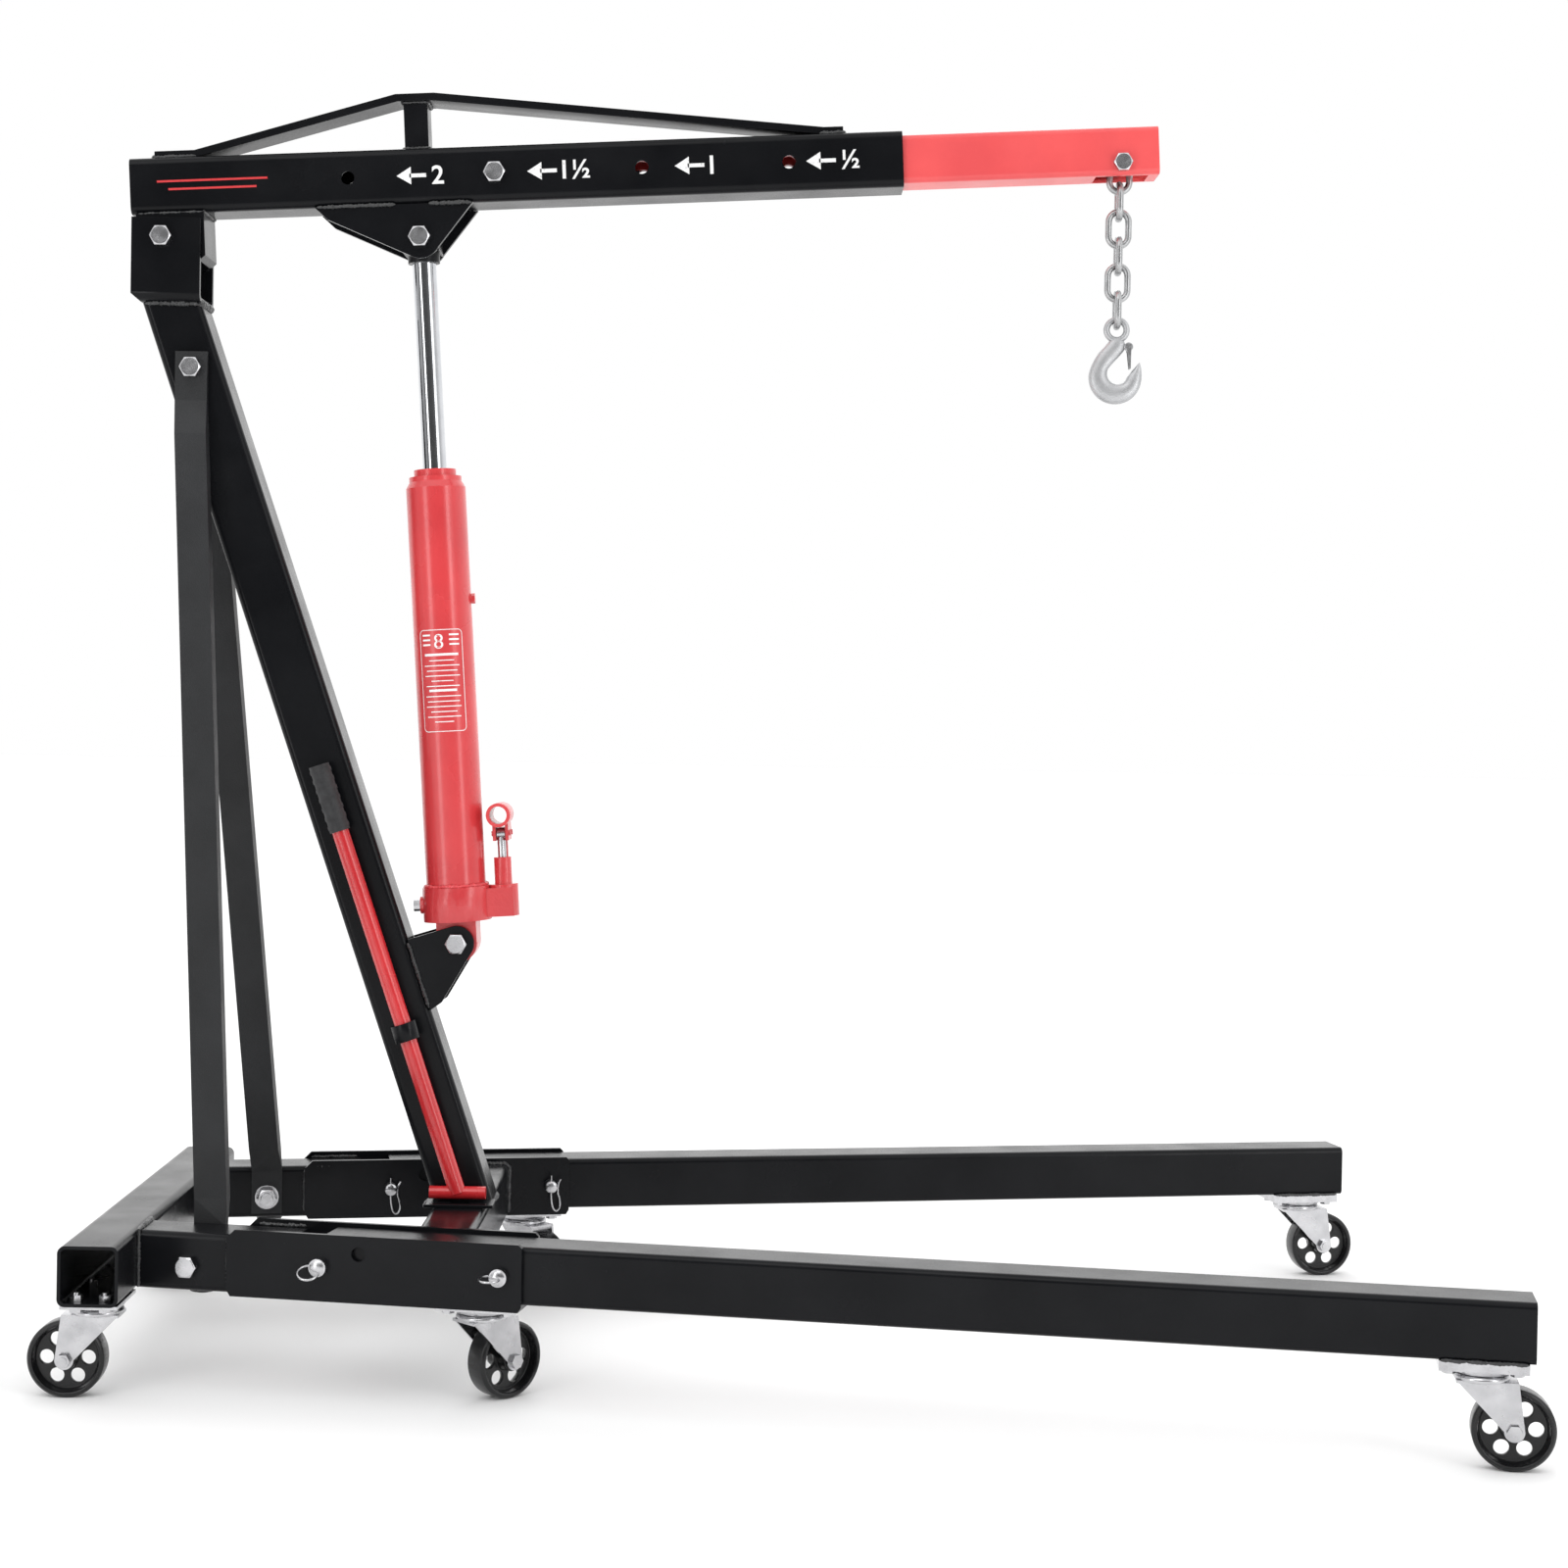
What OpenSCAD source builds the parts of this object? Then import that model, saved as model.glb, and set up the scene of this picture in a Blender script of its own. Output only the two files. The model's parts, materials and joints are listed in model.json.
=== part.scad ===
// Folding engine hoist: rear cross tube, splayed fold-up legs, leaning mast,
// pinned boom with sliding extension, hydraulic long ram, chain and hook.
// +X points forward to the leg tips, +Y to the left, +Z up, floor at Z = 0.

/* [Base frame] */
// outside size of the rear and front cross tubes
cross_size = 70; // [60:1:76]
// length of the rear cross tube
cross_len = 690; // [640:5:760]
// wall of the big square tubes
tube_wall = 4; // [3:0.5:5]
// half width between the outer rail faces at the rear cross tube
rail_half = 247; // [230:1:255]
// angle of each side beam to the centre line
splay = 10.5; // [9:0.5:12]
// outside size of the side rails
rail_size = 68; // [64:1:70]
// rearmost face of the front cross tube
front_cross_x = 393; // [385:1:400]

/* [Legs] */
// outside size of the fold-up legs
leg_size = 67; // [63:1:67]
// distance from the rear cross tube face to the leg tip, along the leg
leg_reach = 1588; // [1500:1:1650]
// distance of the fold pin along the side beam
fold_pin = 226; // [224:1:232]
// distance of the lock pin along the side beam
lock_pin = 442; // [436:1:446]
// thickness of the leg bracket plates
bracket_t = 6; // [5:0.5:8]

/* [Casters] */
// wheel diameter
wheel_d = 90; // [80:1:92]
// wheel width
wheel_w = 30; // [26:1:32]
// distance of the axle behind the swivel axis
trail = 34; // [28:1:38]
// floor to the top of the caster plate
caster_h = 114; // [112:1:118]

/* [Mast] */
// mast tube size
mast_size = 70; // [64:1:70]
// lean of the mast to the rear
mast_lean = 18.8; // [18:0.1:19.5]
// height of the mast top under its head
mast_top = 1303; // [1290:1:1310]

/* [Boom] */
// boom tube size
boom_size = 70; // [68:1:74]
// boom tube length
boom_len = 965; // [900:5:990]
// upward slope of the boom
boom_rise = 3; // [0:0.5:5]
// extension tube size
ext_size = 60; // [56:1:60]
// length of extension showing past the boom
ext_out = 320; // [300:5:360]
// spacing of the load position holes
hole_pitch = 183.5; // [180:0.5:186]

/* [Ram] */
// ram cylinder diameter
ram_d = 75; // [66:1:76]
// piston rod diameter
rod_d = 30; // [24:1:32]

/* [Chain] */
// chain wire diameter
wire_d = 8.4; // [7:0.1:8.6]

/* [Hidden] */
$fn = 64;
eps = 0.01;
bolt_d = 16;
pin_gap = 0.08;
beam_h0 = caster_h + bracket_t + 1;
wheel_r = wheel_d / 2;
rear_swivel_y = cross_len / 2 - 53;
mid_swivel = 411;
front_swivel = leg_reach - 54;
cross_z0 = caster_h;
cross_top = cross_z0 + cross_size;
rail_z0 = caster_h + 2;
bracket_top = caster_h + 78;
bracket_x0 = 112;
bracket_x1 = 468;
pin_z = beam_h0 + leg_size / 2;
front_tip_x = cross_size + (front_swivel + trail + wheel_r) * cos(splay)
              + (0.5 + leg_size / 2 + wheel_w / 2 - 3) * sin(splay);
rear_tip_x = cross_size / 2 - trail - wheel_r;
origin_x = (front_tip_x + rear_tip_x) / 2;
mast_foot_x = 430;
lean_t = tan(mast_lean);
function mast_x(z) = mast_foot_x - (z - cross_top) * lean_t;
mast_half_x = mast_size / 2 / cos(mast_lean);
head_t = 7;
head_in = 37;
head_h = 105;
head_x1 = mast_x(mast_top) + mast_half_x;
head_x0 = head_x1 - 86;
boom_x0 = -4.5;
boom_z0 = 1447.5;
boom_pin = [39, -65.5];
ram_pin = [359, -76.5];
function boom_pt(p) = [boom_x0 + p[0] * cos(boom_rise) - p[1] * sin(boom_rise),
                       boom_z0 + p[0] * sin(boom_rise) + p[1] * cos(boom_rise)];
head_pin = boom_pt(boom_pin);
rod_pin = boom_pt(ram_pin);
foot_pin = [416.5, 508];
ram_dx = rod_pin[0] - foot_pin[0];
ram_dz = rod_pin[1] - foot_pin[1];
ram_len = sqrt(ram_dx * ram_dx + ram_dz * ram_dz);
ram_tilt = atan2(ram_dx, ram_dz);
hole_1 = 272;
lock_s = hole_1 + hole_pitch;
ext_end = boom_len + ext_out;
ext_tail = lock_s - 47;
chain_s = ext_end - 46;
chain_bolt_r = 7;
chain_drop = 15;
wire_r = wire_d / 2;
link_in = 34.3;
bend_r = 12.5;
link_gap = 0.4;
link_step = link_in - link_gap;
chain_pt = boom_pt([chain_s, -chain_drop]);
link_top = chain_pt[1] + chain_bolt_r + 0.3 - link_in / 2;
eye_r = 12.6;
eye_wire = 4.1;
hook_z = link_top - 5 * link_step - link_in / 2 + eye_wire + link_gap - eye_r;
pump_x = 60;
pump_top = 134;
handle_y = -54;
handle_r = 10.5;
brace_pin = [mast_x(1222), 1222];
brace_foot_s = 62;
brace_foot_z = 145;
rear_yaw = 180;
mid_yaw = 55;
front_yaw = 0;
strap_t = 9;
strap_w = 50;
bowl = [0, -59.5];
bowl_r = 24;
hook_r = 10;
latch_pin = [15.5, -21];
latch_len = 28;
handle_low = 16;

black = [0.12, 0.12, 0.13];
red = [0.85, 0.25, 0.25];
zinc = [0.72, 0.72, 0.74];
rubber = [0.08, 0.08, 0.08];

// ---------- shared shapes ----------

module at_origin() {
    translate([-origin_x, 0, 0]) children();
}

// frame of the right side beam: x along the beam, y across it to the inside
module beam_frame() {
    at_origin() translate([cross_size, -rail_half, 0]) rotate([0, 0, -splay]) children();
}

module left_side() {
    mirror([0, 1, 0]) children();
}

module boom_frame() {
    at_origin() translate([boom_x0, 0, boom_z0]) rotate([0, -boom_rise, 0]) children();
}

module ram_frame() {
    at_origin() translate([foot_pin[0], 0, foot_pin[1]]) rotate([0, ram_tilt, 0]) children();
}

module mast_frame() {
    at_origin() translate([mast_foot_x, 0, cross_top]) rotate([0, -mast_lean, 0]) children();
}

module round_rect(w, h, r) {
    square([w - 2 * r, h], center = true);
    square([w, h - 2 * r], center = true);
    for (x = [-1, 1])
        for (y = [-1, 1])
            translate([x * (w / 2 - r), y * (h / 2 - r)]) circle(r);
}

// square tube along +X, centred on its own axis
module tube_x(len, w, h, wall, r) {
    rotate([90, 0, 90])
        linear_extrude(len)
            difference() {
                round_rect(w, h, r);
                round_rect(w - 2 * wall, h - 2 * wall, r - wall);
            }
}

module rod_y(r, y0, y1) {
    translate([0, y0, 0]) rotate([-90, 0, 0]) cylinder(r = r, h = y1 - y0);
}

// plate standing in the XZ plane, from y0 to y1
module slab_y(y0, y1) {
    translate([0, y1, 0]) rotate([90, 0, 0]) linear_extrude(y1 - y0) children();
}

// hexagon bolt along +Z with its head below z = 0 and its nut above the grip
module hex_bolt(d, grip) {
    head = 0.62 * d;
    nut = 0.9 * d;
    difference() {
        translate([0, 0, -head]) cylinder(r = 0.75 * d / cos(30), h = head, $fn = 6);
        translate([0, 0, -head - eps])
            difference() {
                cylinder(r = d, h = 0.12 * d);
                cylinder(r1 = 0.68 * d, r2 = 0.92 * d, h = 0.12 * d);
            }
    }
    cylinder(r = d / 2, h = grip + nut + 0.25 * d);
    translate([0, 0, grip])
        difference() {
            cylinder(r = 0.75 * d / cos(30), h = nut, $fn = 6);
            translate([0, 0, nut - 0.12 * d + eps])
                difference() {
                    cylinder(r = d, h = 0.12 * d);
                    cylinder(r1 = 0.92 * d, r2 = 0.68 * d, h = 0.12 * d);
                }
        }
}

module bolt_y(x, z, half, d) {
    translate([x, -half, z]) rotate([-90, 0, 0]) hex_bolt(d, 2 * half);
}

// ---------- frame ----------

module rear_cross_tube() {
    color(black)
        at_origin()
            translate([cross_size / 2, 0, cross_z0 + cross_size / 2])
                difference() {
                    translate([0, -cross_len / 2, 0])
                        rotate([0, 0, 90]) tube_x(cross_len, cross_size, cross_size, tube_wall, 9);
                    for (s = [-1, 1])
                        for (a = [-1, 1])
                            for (b = [-1, 1])
                                translate([a * 17, s * rear_swivel_y + b * 36, -cross_size / 2 - 1])
                                    cylinder(r = 4.2, h = tube_wall + 2);
                }
}

module rail_body() {
    difference() {
        beam_frame()
            difference() {
                translate([-20, rail_size / 2, rail_z0 + rail_size / 2])
                    tube_x(208, rail_size, rail_size, tube_wall, 7);
                translate([brace_foot_s, 0, brace_foot_z]) rod_y(bolt_d / 2 + 0.2, -1, rail_size + 1);
            }
        at_origin() translate([-100, -600, 0]) cube([100 + cross_size, 1200, 400]);
    }
}

module right_rail() {
    color(black) rail_body();
}

module left_rail() {
    color(black) left_side() rail_body();
}

module bracket_plate() {
    difference() {
        polygon([[bracket_x0 + 5, caster_h], [bracket_x1 - 4, caster_h], [bracket_x1, caster_h + 6],
                 [bracket_x1, bracket_top - 4], [bracket_x1 - 4, bracket_top],
                 [bracket_x0 + 10, bracket_top], [bracket_x0, bracket_top - 10], [bracket_x0, caster_h + 8]]);
        for (s = [fold_pin, lock_pin])
            translate([s, pin_z]) circle(bolt_d / 2 + 0.15);
        translate([fold_pin + 47, pin_z + 16.5]) circle(8.5);
    }
}

module bracket_body() {
    beam_frame() {
        slab_y(-bracket_t, 0) bracket_plate();
        slab_y(rail_size, rail_size + bracket_t) bracket_plate();
        difference() {
            translate([191, 0, caster_h])
                cube([bracket_x1 - 4 - 191, rail_size, bracket_t]);
            for (a = [-1, 1])
                for (b = [-1, 1])
                    translate([mid_swivel + a * 36, rail_size / 2 + b * 17, caster_h - 1])
                        cylinder(r = 4.2, h = bracket_t + 2);
        }
    }
}

module right_leg_bracket() {
    color(black) bracket_body();
}

module left_leg_bracket() {
    color(black) left_side() bracket_body();
}

module front_cross_tube() {
    color(black)
        difference() {
            at_origin()
                translate([front_cross_x + cross_size / 2, -300, cross_z0 + cross_size / 2])
                    rotate([0, 0, 90]) tube_x(600, cross_size, cross_size, tube_wall, 9);
            for (m = [0, 1])
                mirror([0, m, 0])
                    beam_frame() translate([0, -200, 0]) cube([700, 200 + rail_size + bracket_t, 400]);
        }
}

module mast() {
    color(black)
        difference() {
            mast_frame()
                translate([0, 0, -60]) rotate([0, -90, 0]) tube_x(1400, mast_size, mast_size, 5, 9);
            at_origin() translate([-200, -100, cross_top - 400]) cube([900, 200, 400]);
            at_origin() translate([-300, -100, mast_top]) cube([900, 200, 400]);
            at_origin() translate([brace_pin[0], 0, brace_pin[1]]) rod_y(bolt_d / 2 + 0.2, -50, 50);
        }
}

module mast_head() {
    w = head_in + head_t;
    color(black)
        at_origin()
            difference() {
                translate([head_x0, 0, mast_top])
                    rotate([90, 0, 90])
                        linear_extrude(86)
                            difference() {
                                union() {
                                    translate([-w, 12]) square([2 * w, head_h - 12]);
                                    translate([-w + 12, 0]) square([2 * w - 24, 13]);
                                    for (s = [-1, 1])
                                        translate([s * (w - 12), 12]) circle(12);
                                }
                                translate([-head_in, head_t + 5]) square([2 * head_in, head_h]);
                                translate([-head_in + 5, head_t]) square([2 * head_in - 10, 6]);
                                for (s = [-1, 1])
                                    translate([s * (head_in - 5), head_t + 5]) circle(5);
                            }
                translate([head_pin[0], 0, head_pin[1]]) rod_y(bolt_d / 2 + 0.2, -60, 60);
                translate([head_x0 - 1, 0, mast_top - 1])
                    rotate([90, 0, 0])
                        linear_extrude(200, center = true)
                            polygon([[0, 0], [14, 0], [0, 12]]);
            }
}

module ram_foot_bracket() {
    x0 = mast_x(foot_pin[1] + 4) + mast_half_x;
    x1 = mast_x(424) + mast_half_x;
    color(black)
        at_origin()
            for (s = [-1, 1])
                slab_y(s * 31.5 - 3.5, s * 31.5 + 3.5)
                    difference() {
                        union() {
                            polygon([[x0, foot_pin[1] + 4], [foot_pin[0] - 6, foot_pin[1] + 21.2],
                                     [foot_pin[0] + 20, foot_pin[1] - 9.2], [x1 + 14, 434], [x1, 424]]);
                            translate(foot_pin) circle(22);
                        }
                        translate(foot_pin) circle(bolt_d / 2 + 0.2);
                    }
}

// brace from the mast top bolt down to the inner rail face, right side
module brace_body() {
    tab = 8;
    top = [brace_pin[0], -mast_size / 2 - tab, brace_pin[1]];
    foot = [cross_size + brace_foot_s * cos(splay) + rail_size * sin(splay),
            -rail_half - brace_foot_s * sin(splay) + rail_size * cos(splay), brace_foot_z];
    at_origin() {
        difference() {
            translate([top[0] - 20, top[1], top[2] - 42]) cube([40, tab, 42 + 20]);
            translate([top[0], 0, top[2]]) rod_y(bolt_d / 2 + 0.2, -60, -30);
        }
        hull() {
            translate([top[0] - 20, top[1], top[2] - 42]) cube([40, tab, 1]);
            translate([top[0] - 17, top[1] - 14, top[2] - 84]) cube([39, 22, 1]);
        }
        hull() {
            translate([top[0] - 17, top[1] - 14, top[2] - 84]) cube([39, 22, 1]);
            translate([foot[0] - 20, foot[1] + 4, foot[2] + 66]) cube([39, 22, 1]);
        }
        hull() {
            translate([foot[0] - 20, foot[1] + 4, foot[2] + 66]) cube([39, 22, 1]);
            translate([foot[0], foot[1], foot[2] + 34])
                rotate([0, 0, -splay]) translate([-20, 0, 0]) cube([40, tab, 1]);
        }
    }
    beam_frame()
        difference() {
            translate([brace_foot_s - 20, rail_size, brace_foot_z - 22]) cube([40, tab, 22 + 35]);
            translate([brace_foot_s, 0, brace_foot_z]) rod_y(bolt_d / 2 + 0.2, rail_size - 5, rail_size + 20);
        }
}

module right_brace() {
    color(black) brace_body();
}

module left_brace() {
    color(black) left_side() brace_body();
}

module handle_clip() {
    color(black)
        mast_frame()
            translate([0, handle_y, 216]) {
                difference() {
                    cylinder(r = 16, h = 22);
                    translate([0, 0, -1]) cylinder(r = handle_r + 0.8, h = 24);
                }
                translate([-5, 13.5, 5]) cube([10, -handle_y - mast_size / 2 - 13.5, 12]);
            }
}

module handle_rest() {
    color(black)
        at_origin()
            difference() {
                translate([front_cross_x - 8, -78, cross_top])
                    cube([cross_size + 16, 42, 4]);
                translate([front_cross_x + cross_size / 2 - 12, -66, cross_top - 1]) cube([24, 18, 6]);
            }
}

module frame_bolts() {
    color(zinc) {
        at_origin() {
            bolt_y(head_pin[0], head_pin[1], head_in + head_t, bolt_d);
            bolt_y(brace_pin[0], brace_pin[1], mast_size / 2 + 8, bolt_d);
            bolt_y(foot_pin[0], foot_pin[1], 35, bolt_d);
        }
        for (m = [0, 1])
            mirror([0, m, 0])
                beam_frame()
                    translate([brace_foot_s, 0, brace_foot_z])
                        rotate([-90, 0, 0]) hex_bolt(bolt_d, rail_size + 8);
    }
}

module pin_body() {
    beam_frame()
        for (s = [fold_pin, lock_pin])
            translate([s, 0, pin_z]) {
                rod_y(bolt_d / 2, -bracket_t - 6, rail_size + bracket_t + 18);
                rod_y(10.5, -bracket_t - 9, -bracket_t);
            }
}

module leg_pins() {
    color(zinc) {
        pin_body();
        left_side() pin_body();
    }
}

// pull ring at the head of a pin and spring clip through its tail
module clip_body() {
    wire = 1.5;
    beam_frame()
        for (s = [fold_pin, lock_pin])
            translate([s, 0, pin_z]) {
                translate([0, -bracket_t - 11.2, -12])
                    rotate([90, 0, 0]) rotate_extrude() translate([14, 0]) circle(wire + 0.4, $fn = 24);
                translate([0, rail_size + bracket_t + 12, -34]) cylinder(r = wire, h = 46, $fn = 24);
                translate([9, rail_size + bracket_t + 12, -34]) cylinder(r = wire, h = 44, $fn = 24);
                translate([4.5, rail_size + bracket_t + 12, -34])
                    rotate([90, 180, 0])
                        rotate_extrude(angle = 180) translate([4.5, 0]) circle(wire, $fn = 24);
            }
}

module pin_clips() {
    color(zinc) {
        difference() {
            clip_body();
            pin_cut();
        }
        left_side()
            difference() {
                clip_body();
                pin_cut();
            }
    }
}

module pin_cut() {
    beam_frame()
        for (s = [fold_pin, lock_pin])
            translate([s, 0, pin_z]) rod_y(bolt_d / 2 + eps, -bracket_t - 30, rail_size + bracket_t + 30);
}

// ---------- casters ----------

// mounting plate with its race and four bolts, swivel axis at the origin, top at z = 0;
// the bolts reach up to tip, and have nuts there when nutted is true
module caster_plate(tip, nutted) {
    difference() {
        union() {
            translate([-47.5, -33, -4]) cube([95, 66, 4]);
            translate([0, 0, -10]) cylinder(r = 27, h = 6);
        }
        translate([0, 0, -12]) cylinder(r = 7 + pin_gap, h = 14);
        translate([0, 0, -3]) cylinder(r = 12, h = 4);
        for (a = [-1, 1])
            for (b = [-1, 1])
                translate([a * 36, b * 17, -5]) cylinder(r = 4.2, h = 6);
    }
    for (a = [-1, 1])
        for (b = [-1, 1])
            translate([a * 36, b * 17, -9]) {
                cylinder(r = 7.5, h = 5, $fn = 6);
                cylinder(r = 4, h = 9 + tip);
                if (nutted)
                    translate([0, 0, 9 + tip - 10]) cylinder(r = 7.5, h = 7, $fn = 6);
            }
}

// swivel fork with kingpin and axle bolt, swivel axis at the origin, trailing to +X
module caster_fork() {
    axle = -(caster_h - wheel_r);
    in = wheel_w / 2 + 2;
    difference() {
        union() {
            translate([0, 0, -16.5]) cylinder(r = 25, h = 6);
            translate([-28, -in - 3, -19.5]) cube([66, 2 * in + 6, 3.2]);
            for (s = [-1, 1])
                slab_y(s * (in + 1.5) - 1.5, s * (in + 1.5) + 1.5) {
                    polygon([[-28, -16.4], [38, -16.4], [trail + 11, axle], [trail - 11, axle]]);
                    translate([trail, axle]) circle(11);
                }
        }
        translate([trail, 0, axle]) rod_y(5.01, -in - 10, in + 10);
    }
    translate([0, 0, -16.5]) cylinder(r = 7, h = 14);
    translate([0, 0, -3 + pin_gap]) cylinder(r = 10.5, h = 2.2);
    translate([trail, 0, axle]) {
        rod_y(5, -in - 3, in + 11);
        translate([0, -in - 3, 0]) rotate([90, 0, 0]) cylinder(r = 8.5, h = 5, $fn = 6);
        translate([0, in + 3, 0]) rotate([-90, 0, 0]) cylinder(r = 8.5, h = 7, $fn = 6);
    }
}

// wheel on its axle line at the origin, axle along Y
module caster_wheel() {
    w = wheel_w / 2;
    difference() {
        rotate([90, 0, 0])
            rotate_extrude()
                polygon([[5 + pin_gap, -w - 1.4], [12.5, -w - 1.4], [13.5, -3], [wheel_r - 9, -3],
                         [wheel_r - 6, -w + 1], [wheel_r - 5, -w], [wheel_r - 3, -w], [wheel_r, -w + 3],
                         [wheel_r, w - 3], [wheel_r - 3, w], [wheel_r - 5, w], [wheel_r - 6, w - 1],
                         [wheel_r - 9, 3], [13.5, 3], [12.5, w + 1.4], [5 + pin_gap, w + 1.4]]);
        for (a = [0:60:300])
            rotate([0, a, 0]) translate([24.2, 0, 0]) rod_y(8.4, -20, 20);
    }
}

// where each right-hand caster stands and where it points
module rear_place() {
    at_origin() translate([cross_size / 2, -rear_swivel_y, caster_h]) children();
}

module mid_place() {
    beam_frame() translate([mid_swivel, rail_size / 2, caster_h]) children();
}

module front_place() {
    beam_frame() translate([front_swivel, 0.5 + leg_size / 2, caster_h]) children();
}

module wheel_seat() {
    translate([trail, 0, -(caster_h - wheel_r)]) children();
}

module frame_caster_plates() {
    color(zinc)
        for (m = [0, 1])
            mirror([0, m, 0]) {
                rear_place() rotate([0, 0, 90]) caster_plate(tube_wall + 10, true);
                mid_place() caster_plate(bracket_t - 0.5, false);
            }
}

module rear_right_fork() {
    color(zinc) rear_place() rotate([0, 0, rear_yaw]) caster_fork();
}

module rear_left_fork() {
    color(zinc) left_side() rear_place() rotate([0, 0, rear_yaw]) caster_fork();
}

module mid_right_fork() {
    color(zinc) mid_place() rotate([0, 0, mid_yaw]) caster_fork();
}

module mid_left_fork() {
    color(zinc) left_side() mid_place() rotate([0, 0, mid_yaw]) caster_fork();
}

module front_right_fork() {
    color(zinc) front_place() rotate([0, 0, front_yaw]) caster_fork();
}

module front_left_fork() {
    color(zinc) left_side() front_place() rotate([0, 0, front_yaw]) caster_fork();
}

module rear_right_wheel() {
    color(rubber) rear_place() rotate([0, 0, rear_yaw]) wheel_seat() caster_wheel();
}

module rear_left_wheel() {
    color(rubber) left_side() rear_place() rotate([0, 0, rear_yaw]) wheel_seat() caster_wheel();
}

module mid_right_wheel() {
    color(rubber) mid_place() rotate([0, 0, mid_yaw]) wheel_seat() caster_wheel();
}

module mid_left_wheel() {
    color(rubber) left_side() mid_place() rotate([0, 0, mid_yaw]) wheel_seat() caster_wheel();
}

module front_right_wheel() {
    color(rubber) front_place() rotate([0, 0, front_yaw]) wheel_seat() caster_wheel();
}

module front_left_wheel() {
    color(rubber) left_side() front_place() rotate([0, 0, front_yaw]) wheel_seat() caster_wheel();
}

// ---------- fold-up legs ----------

module leg_body() {
    reach = leg_reach - fold_pin;
    beam_frame()
        translate([fold_pin, 0.5, pin_z])
            difference() {
                translate([-leg_size / 2, leg_size / 2, 0])
                    tube_x(reach + leg_size / 2, leg_size, leg_size, tube_wall, 7);
                // rounded rear end of the side walls
                difference() {
                    translate([-leg_size, -1, -leg_size]) cube([leg_size, leg_size + 2, 2 * leg_size]);
                    rod_y(leg_size / 2, -2, leg_size + 2);
                }
                // top and bottom walls stop at the fold pin
                translate([-leg_size, tube_wall, -leg_size])
                    cube([leg_size, leg_size - 2 * tube_wall, 2 * leg_size]);
                rod_y(bolt_d / 2 + pin_gap, -1, leg_size + 1);
                // the lock pin leaves through a downward slot
                rotate([-90, 0, 0])
                    translate([0, 0, -1])
                        rotate_extrude(angle = 14)
                            translate([lock_pin - fold_pin - bolt_d / 2 - 0.4, 0])
                                square([bolt_d + 0.8, leg_size + 2]);
                translate([lock_pin - fold_pin, 0, 0]) rod_y(bolt_d / 2 + 0.4, -1, leg_size + 1);
                for (a = [-1, 1])
                    for (b = [-1, 1])
                        translate([front_swivel - fold_pin + a * 36, leg_size / 2 + b * 17, 0])
                            translate([0, 0, -leg_size / 2 - 1]) cylinder(r = 4.2, h = tube_wall + 2);
            }
}

module right_leg() {
    color(black) leg_body();
}

module left_leg() {
    color(black) left_side() leg_body();
}

// packing pad and caster plate under the leg tip
module leg_plate_body() {
    front_place() {
        difference() {
            translate([-47.5, -33, 0]) cube([95, 66, bracket_t + 1]);
            cylinder(r = 14, h = 3);
            for (a = [-1, 1])
                for (b = [-1, 1])
                    translate([a * 36, b * 17, -1]) cylinder(r = 4.2, h = bracket_t + 3);
        }
        caster_plate(tube_wall + bracket_t + 11, true);
    }
}

module right_leg_plate() {
    color(zinc) leg_plate_body();
}

module left_leg_plate() {
    color(zinc) left_side() leg_plate_body();
}

// ---------- boom ----------

module boom_tube() {
    color(black)
        boom_frame()
            difference() {
                tube_x(boom_len, boom_size, boom_size, 4, 9);
                for (k = [0:3])
                    translate([hole_1 + k * hole_pitch, 0, 0]) rod_y(bolt_d / 2 + 0.3, -50, 50);
            }
}

module boom_lug() {
    h = -boom_size / 2;
    color(black)
        boom_frame()
            difference() {
                slab_y(-36, 36)
                    polygon([[6, h], [boom_pin[0] + 52, h], [boom_pin[0] + 52, boom_pin[1] - 24],
                             [boom_pin[0] + 40, boom_pin[1] - 34], [boom_pin[0], boom_pin[1] - 34],
                             [boom_pin[0] - 32, boom_pin[1] - 6]]);
                translate([0, 0, -200]) slab_y(-29, 29)
                    polygon([[-5, 200 + h - 8], [boom_pin[0] + 44, 200 + h - 8],
                             [boom_pin[0] + 44, 60], [-5, 60]]);
                translate([boom_pin[0], 0, boom_pin[1]]) rod_y(bolt_d / 2 + pin_gap, -50, 50);
            }
}

module truss_strap() {
    h = boom_size / 2;
    color(black)
        boom_frame()
            slab_y(-strap_w / 2, strap_w / 2)
                polygon([[30, h], [82, h], [336, 95], [380, 95], [868, h], [892, h],
                         [892, h + strap_t], [868, h + strap_t], [382, 95 + strap_t + 0.5],
                         [334, 95 + strap_t + 0.5], [80, h + strap_t], [30, h + strap_t]]);
}

module truss_post() {
    color(black)
        boom_frame()
            translate([343, -20, boom_size / 2])
                difference() {
                    cube([30, 40, 95 - boom_size / 2]);
                    translate([3, 3, -1]) cube([24, 34, 97 - boom_size / 2]);
                }
}

module ram_head_bracket() {
    h = -boom_size / 2;
    p = ram_pin;
    color(black)
        boom_frame()
            for (s = [-1, 1])
                slab_y(s * 31.5 - 3.5, s * 31.5 + 3.5)
                    difference() {
                        union() {
                            polygon([[p[0] - 130, h], [p[0] - 114, h - 16], [p[0] - 9, p[1] - 24.4],
                                     [p[0] + 20, p[1] - 16], [p[0] + 68, h]]);
                            translate(p) circle(26);
                        }
                        translate(p) circle(bolt_d / 2 + 0.2);
                        translate([p[0] - 200, h]) square([400, 50]);
                    }
}

module boom_bolts() {
    color(zinc)
        boom_frame() {
            bolt_y(ram_pin[0], ram_pin[1], 35, bolt_d);
            bolt_y(lock_s, 0, boom_size / 2, bolt_d);
        }
}

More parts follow.
